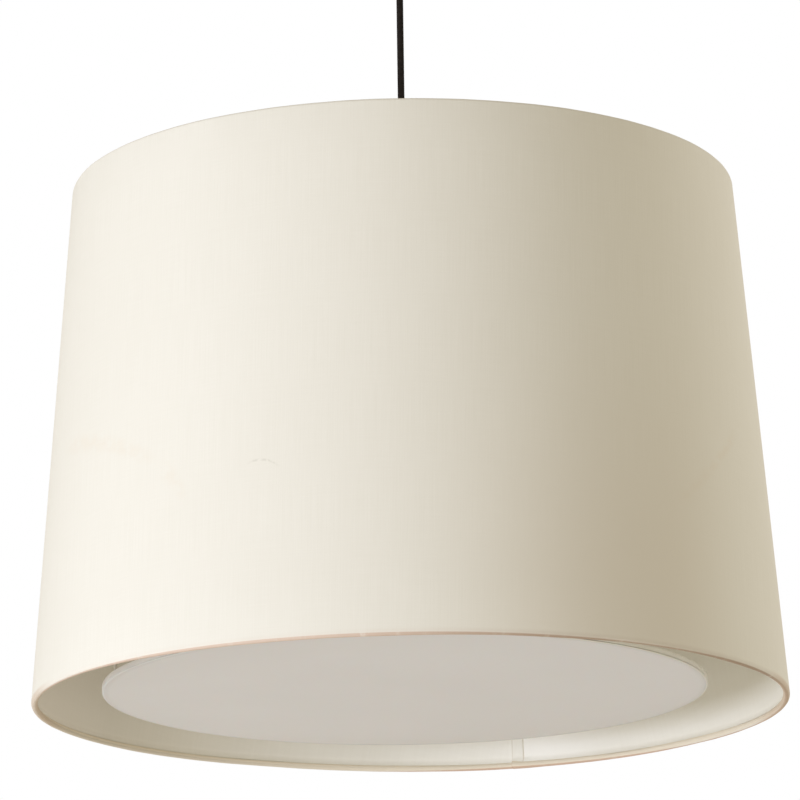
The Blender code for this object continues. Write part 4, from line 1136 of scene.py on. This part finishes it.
def makeCupScrew(name, side):
    c = ceiling
    place = Matrix.Translation((0, 0, c["screwZ"])) @ Matrix.Rotation(side * math.pi / 2, 4, "Y")
    seat = c["radius"] * math.cos(math.pi / c["facets"]) + shade["gap"]
    r, tip = c["screwRadius"], c["screwTip"]
    heights = helixHeights(tip + 0.0004, seat - r, c["pitch"])
    head = [(c["head"] * across, seat + c["headHeight"] * up) for across, up in c["headShares"]]

    def section(azimuth):
        turns = thread(r, c["threadDepth"], c["pitch"], azimuth, heights)
        return [(0, tip), (c["screwCore"], tip)] + turns + [(r, seat - 0.0010), (r, seat)] + head

    screw = turn(f"cup_screw_{name}", section, around(32), [blackPaint], place, smooth=50)
    slotAt = Matrix.Translation((0, 0, seat + c["slotDepth"])) @ Matrix.Rotation(c["slotTurn"] * side, 4, "Z")
    bm = bmesh.new()
    bmesh.ops.create_cube(bm, size=1, matrix=place @ slotAt @ Matrix.Diagonal(c["slot"]))
    cut(screw, link("slot", bm, []))
    settle(screw, "ceiling_set", f"canopy_screw_{name}")


def makeCeiling():
    soften(repaint("ceiling_bracket", zinc), 0.0003)
    soften(repaint("ceiling_terminal_block", nylon), 0.0003)
    makeCup()
    makeCupScrew("left", -1)
    makeCupScrew("right", 1)
    black = [blackPlastic]
    grip = turn("ceiling_strain_grip", gripSection(grips["ceilingBase"], -1), around(80), black)
    settle(grip, "ceiling_set", "ceiling_cord_grip")
    settle(gripNut("ceiling_lock_nut", ceiling["nutZ"]), "ceiling_set", "ceiling_grip_nut")
    grip = turn("lamp_strain_grip", gripSection(grips["lampBase"], 1), around(80), black)
    settle(grip, "shade", "lamp_cord_grip")


makeCeiling()
print("ceiling set and cord grips made")


# hub, arms and their leads
hub = {
    "top": -0.2659,
    "height": 0.036,
    "radius": 0.038,
    "wall": 0.0015,
    "chamfer": 0.003,
    "lip": 0.005,  # the cover's, inside the housing
    "gap": 0.0003,
    "azimuths": [math.radians(255.5 + 120 * n) for n in range(3)],
    "armZ": -0.2839,
    "armStart": 0.0285,
    "armRadius": 0.005,
    "armWall": 0.001,
    "armHole": 0.0053,
    "straight": 0.012,
    "bend": 0.018,
    "tilt": math.radians(50),
    "tail": 0.012,
    "into": 0.005,  # how far an arm reaches into its holder
    "lead": 0.002,
    "leadStart": 0.0123,
    "leadBeyond": 0.0097,  # past the arm's end
}


def armLine(start, trim, steps=14):
    at = hub["radius"] + hub["straight"]
    line = [(start, hub["armZ"])]
    line += arcPoints((at, hub["armZ"] - hub["bend"]), hub["bend"], math.pi / 2, math.pi / 2 - hub["tilt"],
                      steps)
    end = line[-1]
    run = hub["tail"] - trim
    line.append((end[0] + run * math.cos(hub["tilt"]), end[1] - run * math.sin(hub["tilt"])))
    return line


def sweep(name, line, azimuth, radius, wall, look, sides=28):
    # a round bar or tube along a line in one upright plane
    spots = [polar(r, azimuth, z) for r, z in line]
    sideways = Vector((-math.sin(azimuth), math.cos(azimuth), 0))
    bm = bmesh.new()
    shells = []
    for size in ([radius, radius - wall] if wall else [radius]):
        rings = []
        for i, spot in enumerate(spots):
            run = (spots[min(i + 1, len(spots) - 1)] - spots[max(i - 1, 0)]).normalized()
            lift = sideways.cross(run)
            rings.append([bm.verts.new(spot + (sideways * math.cos(a) + lift * math.sin(a)) * size)
                          for a in around(sides)])
        for here, there in zip(rings, rings[1:]):
            for k in range(sides):
                m = (k + 1) % sides
                bm.faces.new((here[k], here[m], there[m], there[k]))
        shells.append(rings)
    for end in (0, -1):
        if wall:
            outer, inner = shells[0][end], shells[1][end]
            for k in range(sides):
                m = (k + 1) % sides
                bm.faces.new((outer[k], outer[m], inner[m], inner[k]))
        else:
            bm.faces.new(shells[0][end])
    return link(name, bm, [look])


def makeHub():
    radius, wall, chamfer, gap, lip = (hub[k] for k in ("radius", "wall", "chamfer", "gap", "lip"))
    top, inner, bottom = hub["top"], radius - wall, hub["top"] - hub["height"]
    loop = [(grips["bore"], top), (radius - chamfer, top), (radius, top - chamfer), (radius, bottom),
            (inner, bottom), (inner, top - chamfer), (inner - chamfer + wall, top - wall),
            (grips["bore"], top - wall)]
    cup = turn("hub_cup", rounded(loop, 0.0010), around(96, hub["azimuths"][0]), [whitePaint])
    ends = [[polar(r, a, hub["armZ"]) for r in (inner - 0.002, radius + 0.002)] for a in hub["azimuths"]]
    cut(cup, bars(ends, hub["armHole"]))
    settle(cup, "shade", "hub_housing")
    rim, edge = bottom - gap, inner - gap
    loop = [(0, rim - wall), (inner, rim - wall), (radius, rim), (edge, rim), (edge, rim + lip),
            (edge - wall, rim + lip), (edge - wall, rim), (0, rim)]
    cover = turn("hub_lid", rounded(loop, 0.0004), around(96), [whitePaint])
    settle(cover, "shade", "hub_cover")
    nutZ = top - wall - gap - grips["nutHeight"]
    settle(gripNut("hub_lock_nut", nutZ), "shade", "hub_nut")
    soften(repaint("hub_junction_block", nylon), 0.0003)


def makeArm(n, azimuth):
    arm = sweep(f"tube_arm_{n}", armLine(hub["armStart"], 0), azimuth, hub["armRadius"], hub["armWall"],
                whitePaint)
    settle(arm, "shade", f"lampholder_arm_{n}")
    line = armLine(hub["leadStart"], -hub["leadBeyond"])
    lead = sweep(f"insulated_lead_{n}", line, azimuth, hub["lead"], 0, nylon, 18)
    settle(lead, "shade", f"lampholder_lead_{n}")
    soften(repaint(f"arm_nut_{n}", zinc), 0.0003)


# lampholders, each a steel shell round a porcelain socket, measured from the shell's back
holder = {
    "back": 0.013,
    "radius": 0.0195,
    "wall": 0.0017,
    "backWall": 0.002,
    "shoulder": 0.012,
    "insideShoulder": 0.01285,
    "length": 0.046,
    "socketStart": 0.015,
    "socketFloor": 0.020,
    "socketEnd": 0.040,
    "socketRadius": 0.0175,
    "threadRadius": 0.0136,
    "pitch": 0.00363,
    "thread": 0.00050,  # half its depth
}


def lampThread(middle, azimuth, heights):
    return thread(middle + holder["thread"], 2 * holder["thread"], holder["pitch"], azimuth, heights)


def makeHolder(n, place):
    h = holder
    radius, back, wall = h["radius"], h["back"], h["wall"]
    loop = [(hub["armHole"], 0), (back, 0), (radius, h["shoulder"]), (radius, h["length"]),
            (radius - wall, h["length"]), (radius - wall, h["insideShoulder"]), (back - wall, h["backWall"]),
            (hub["armHole"], h["backWall"])]
    shell = turn(f"holder_shell_{n}", rounded(loop, 0.0008, 4), around(72), [whitePaint], place)
    settle(shell, "shade", f"lampholder_shell_{n}")
    keys = ("socketStart", "socketFloor", "socketEnd", "socketRadius", "threadRadius")
    start, floor, end, wide, inner = (h[key] for key in keys)
    heights = helixHeights(floor + 0.0035, end - 0.0006, h["pitch"], 12)

    def socket(azimuth):
        loop = [(0, start), (wide - 0.0006, start), (wide, start + 0.0006), (wide, end - 0.0005),
                (wide - 0.0005, end), (inner + 0.0007, end)]
        loop += lampThread(inner, azimuth, heights[::-1])
        return loop + [(inner, floor + 0.0030), (inner, floor), (0.0040, floor), (0, floor)]

    insert = turn(f"porcelain_socket_{n}", socket, around(64), [porcelain], place, smooth=50)
    settle(insert, "shade", f"lampholder_insert_{n}")


# lamps: a contact tip, a screw cap and a globe
lamp = {
    "gap": 0.0003,
    "tip": 0.0090,
    "tipLength": 0.0035,
    "pip": 0.0048,  # the contact
    "pipHeight": 0.0014,
    "cap": 0.0126,  # to the middle of its thread
    "capWall": 0.0006,
    "capLength": 0.022,
    "neck": 0.0138,
    "globe": 0.030,
    "glass": 0.001,
    "length": 0.105,
}


def globeOutline(start, end, wall, steps=26):
    ball, neck = lamp["globe"] - wall, lamp["neck"] - wall
    centre = end - lamp["globe"]
    run = centre - start
    slope = math.asin(ball / math.hypot(run, neck)) - math.atan2(neck, run)
    return [(neck, start)] + arcPoints((0, centre), ball, -slope, math.pi / 2, steps)[:-1] + [(0, end - wall)]


def makeLamp(n, place):
    gap, wide, pip, cap, wall = (lamp[k] for k in ("gap", "tip", "pip", "cap", "capWall"))
    base = holder["socketFloor"] + gap
    pipTop = base + lamp["pipHeight"]
    tipEnd = base + lamp["tipLength"]
    loop = [(0, base), (pip - 0.0004, base), (pip, base + 0.0003), (pip, pipTop),
            (wide * 0.8, pipTop + 0.0005), (wide - 0.0002, pipTop + 0.0012), (wide, tipEnd), (0, tipEnd)]
    tip = turn(f"lamp_{n}_contact_glass", loop, around(48), [blackGlass, solder], place,
               lookOf=lambda i: 1 if i < 3 else 0)
    settle(tip, f"lamp_{n}_contact", f"lamp_{n}_tip")
    start = tipEnd + gap
    end = start + lamp["capLength"]
    heights = helixHeights(start + 0.0030, end - 0.0035, holder["pitch"], 12)

    def capSection(azimuth):
        # the lip at the glass spreads a little
        return ([(0, start), (cap - 0.0022, start), (cap - 0.0014, start + 0.0005)]
                + lampThread(cap, azimuth, heights)
                + [(cap + 0.0002, end - 0.0022), (cap + 0.0004, end - 0.0012), (cap + 0.0005, end),
                   (cap - 0.0001, end), (cap - 0.0004, end - 0.0022)]
                + lampThread(cap - wall, azimuth, heights[::-1])
                + [(cap - 0.0020, start + 2 * wall), (cap - 0.0028, start + wall), (0, start + wall)])

    shell = turn(f"lamp_{n}_screw_cap", capSection, around(64), [nickel], place, smooth=50)
    settle(shell, f"lamp_{n}", f"lamp_{n}_cap")
    neck, reach = end + gap, base + lamp["length"]
    loop = globeOutline(neck, reach, 0)[::-1] + globeOutline(neck, reach, lamp["glass"])
    globe = turn(f"lamp_{n}_opal_globe", loop, around(72), [opalGlass], place)
    settle(globe, f"lamp_{n}", f"lamp_{n}_globe")


makeHub()
for count, azimuth in enumerate(hub["azimuths"], 1):
    makeArm(count, azimuth)
    along, height = armLine(hub["radius"], hub["into"])[-1]
    backOf = Matrix.Translation(polar(along, azimuth, height)) @ Matrix.Rotation(azimuth, 4, "Z")
    onArm = backOf @ Matrix.Rotation(math.pi / 2 + hub["tilt"], 4, "Y")
    makeHolder(count, onArm)
    makeLamp(count, onArm)
print("hub, arms, lampholders and lamps made")


# floor, white surroundings and soft light
studio = {
    "floor": -3.05,
    "floorHalf": 14.0,
    "floorColour": (0.84, 0.83, 0.81),
    "floorPatch": (0.80, 0.79, 0.77),
    "floorGlow": 0.17,
    "glowColour": (1.0, 0.97, 0.92),
    "floorLift": 0.44,  # added for the eye alone
    "liftColour": (0.95, 0.99, 1.17),
    "fill": 0.470,  # strength of the world for the object
    "fillColour": (1.0, 0.925, 0.752),
    "key": {"place": (-3.18, -2.76, -1.1), "size": 2.4, "power": 138.0, "colour": (0.756, 0.82, 1.0)},
    "back": {"place": (2.20, 0.89, 0.15), "size": 1.2, "power": 15.5, "colour": (1.0, 1.0, 1.04)},
    "aim": (0.0, 0.0, -0.47),
}


def makeWorld():
    world = bpy.data.worlds.new("studio")
    bpy.context.scene.world = world
    world.use_nodes = True
    graph = Graph(world.node_tree)
    graph.tree.nodes.clear()
    rays = graph.add("ShaderNodeLightPath")
    eye, glossy, through = (rays.sibling(f"Is {kind} Ray") for kind in ("Camera", "Glossy", "Transmission"))
    seen = eye.most(glossy).most(through)
    fill = {"Color": studio["fillColour"], "Strength": studio["fill"]}
    plain = graph.add("ShaderNodeBackground", None, fill)
    white = graph.add("ShaderNodeBackground", None, {"Color": (1, 1, 1), "Strength": 1.0})
    both = graph.add("ShaderNodeMixShader", None, {0: seen, 1: plain, 2: white})
    graph.add("ShaderNodeOutputWorld", None, {"Surface": both})


def paintFloor():
    paint = Paint("paleFloor", Roughness=0.85, Specular_IOR_Level=0.1, Emission_Strength=studio["floorGlow"],
                  Emission_Color=studio["glowColour"])
    paint.colour(paint.mix(paint.noise(2.0, 2.0) * 0.2, studio["floorColour"], studio["floorPatch"]))
    plain = Wire(paint, paint.shader.outputs[0])
    added = {"Color": studio["liftColour"], "Strength": studio["floorLift"]}
    lift = paint.add("ShaderNodeEmission", None, added)
    lighter = paint.add("ShaderNodeAddShader", None, {0: plain, 1: lift})
    eye = paint.add("ShaderNodeLightPath").sibling("Is Camera Ray")
    ground = paint.add("ShaderNodeMixShader", None, {0: eye, 1: plain, 2: lighter})
    # the floor is see-through from below, for low views
    under = paint.add("ShaderNodeNewGeometry").sibling("Backfacing")
    shown = paint.add("ShaderNodeMixShader", None,
                      {0: under, 1: ground, 2: paint.add("ShaderNodeBsdfTransparent")})
    paint.plug(shown, paint.tree.nodes["Material Output"].inputs["Surface"])
    return paint


def makeFloor():
    half = studio["floorHalf"]
    bm = bmesh.new()
    corners = [(x * half, y * half, studio["floor"]) for x, y in ((-1, -1), (1, -1), (1, 1), (-1, 1))]
    bm.faces.new([bm.verts.new(corner) for corner in corners])
    mesh = bpy.data.meshes.new("floor")
    bm.to_mesh(mesh)
    bm.free()
    mesh.materials.append(paintFloor().material)
    floor = bpy.data.objects.new("floor", mesh)
    bpy.context.scene.collection.objects.link(floor)


def makeLight(name):
    spec = studio[name]
    data = bpy.data.lights.new(name, "AREA")
    data.shape = "DISK"
    data.size = spec["size"]
    data.energy = spec["power"]
    data.color = spec["colour"]
    lit = bpy.data.objects.new(name, data)
    lit.location = spec["place"]
    lit.rotation_euler = (Vector(studio["aim"]) - lit.location).to_track_quat("-Z", "Y").to_euler()
    bpy.context.scene.collection.objects.link(lit)


makeWorld()
makeFloor()
makeLight("key")
makeLight("back")
bpy.context.scene.view_settings.view_transform = "Standard"
print("studio lit")
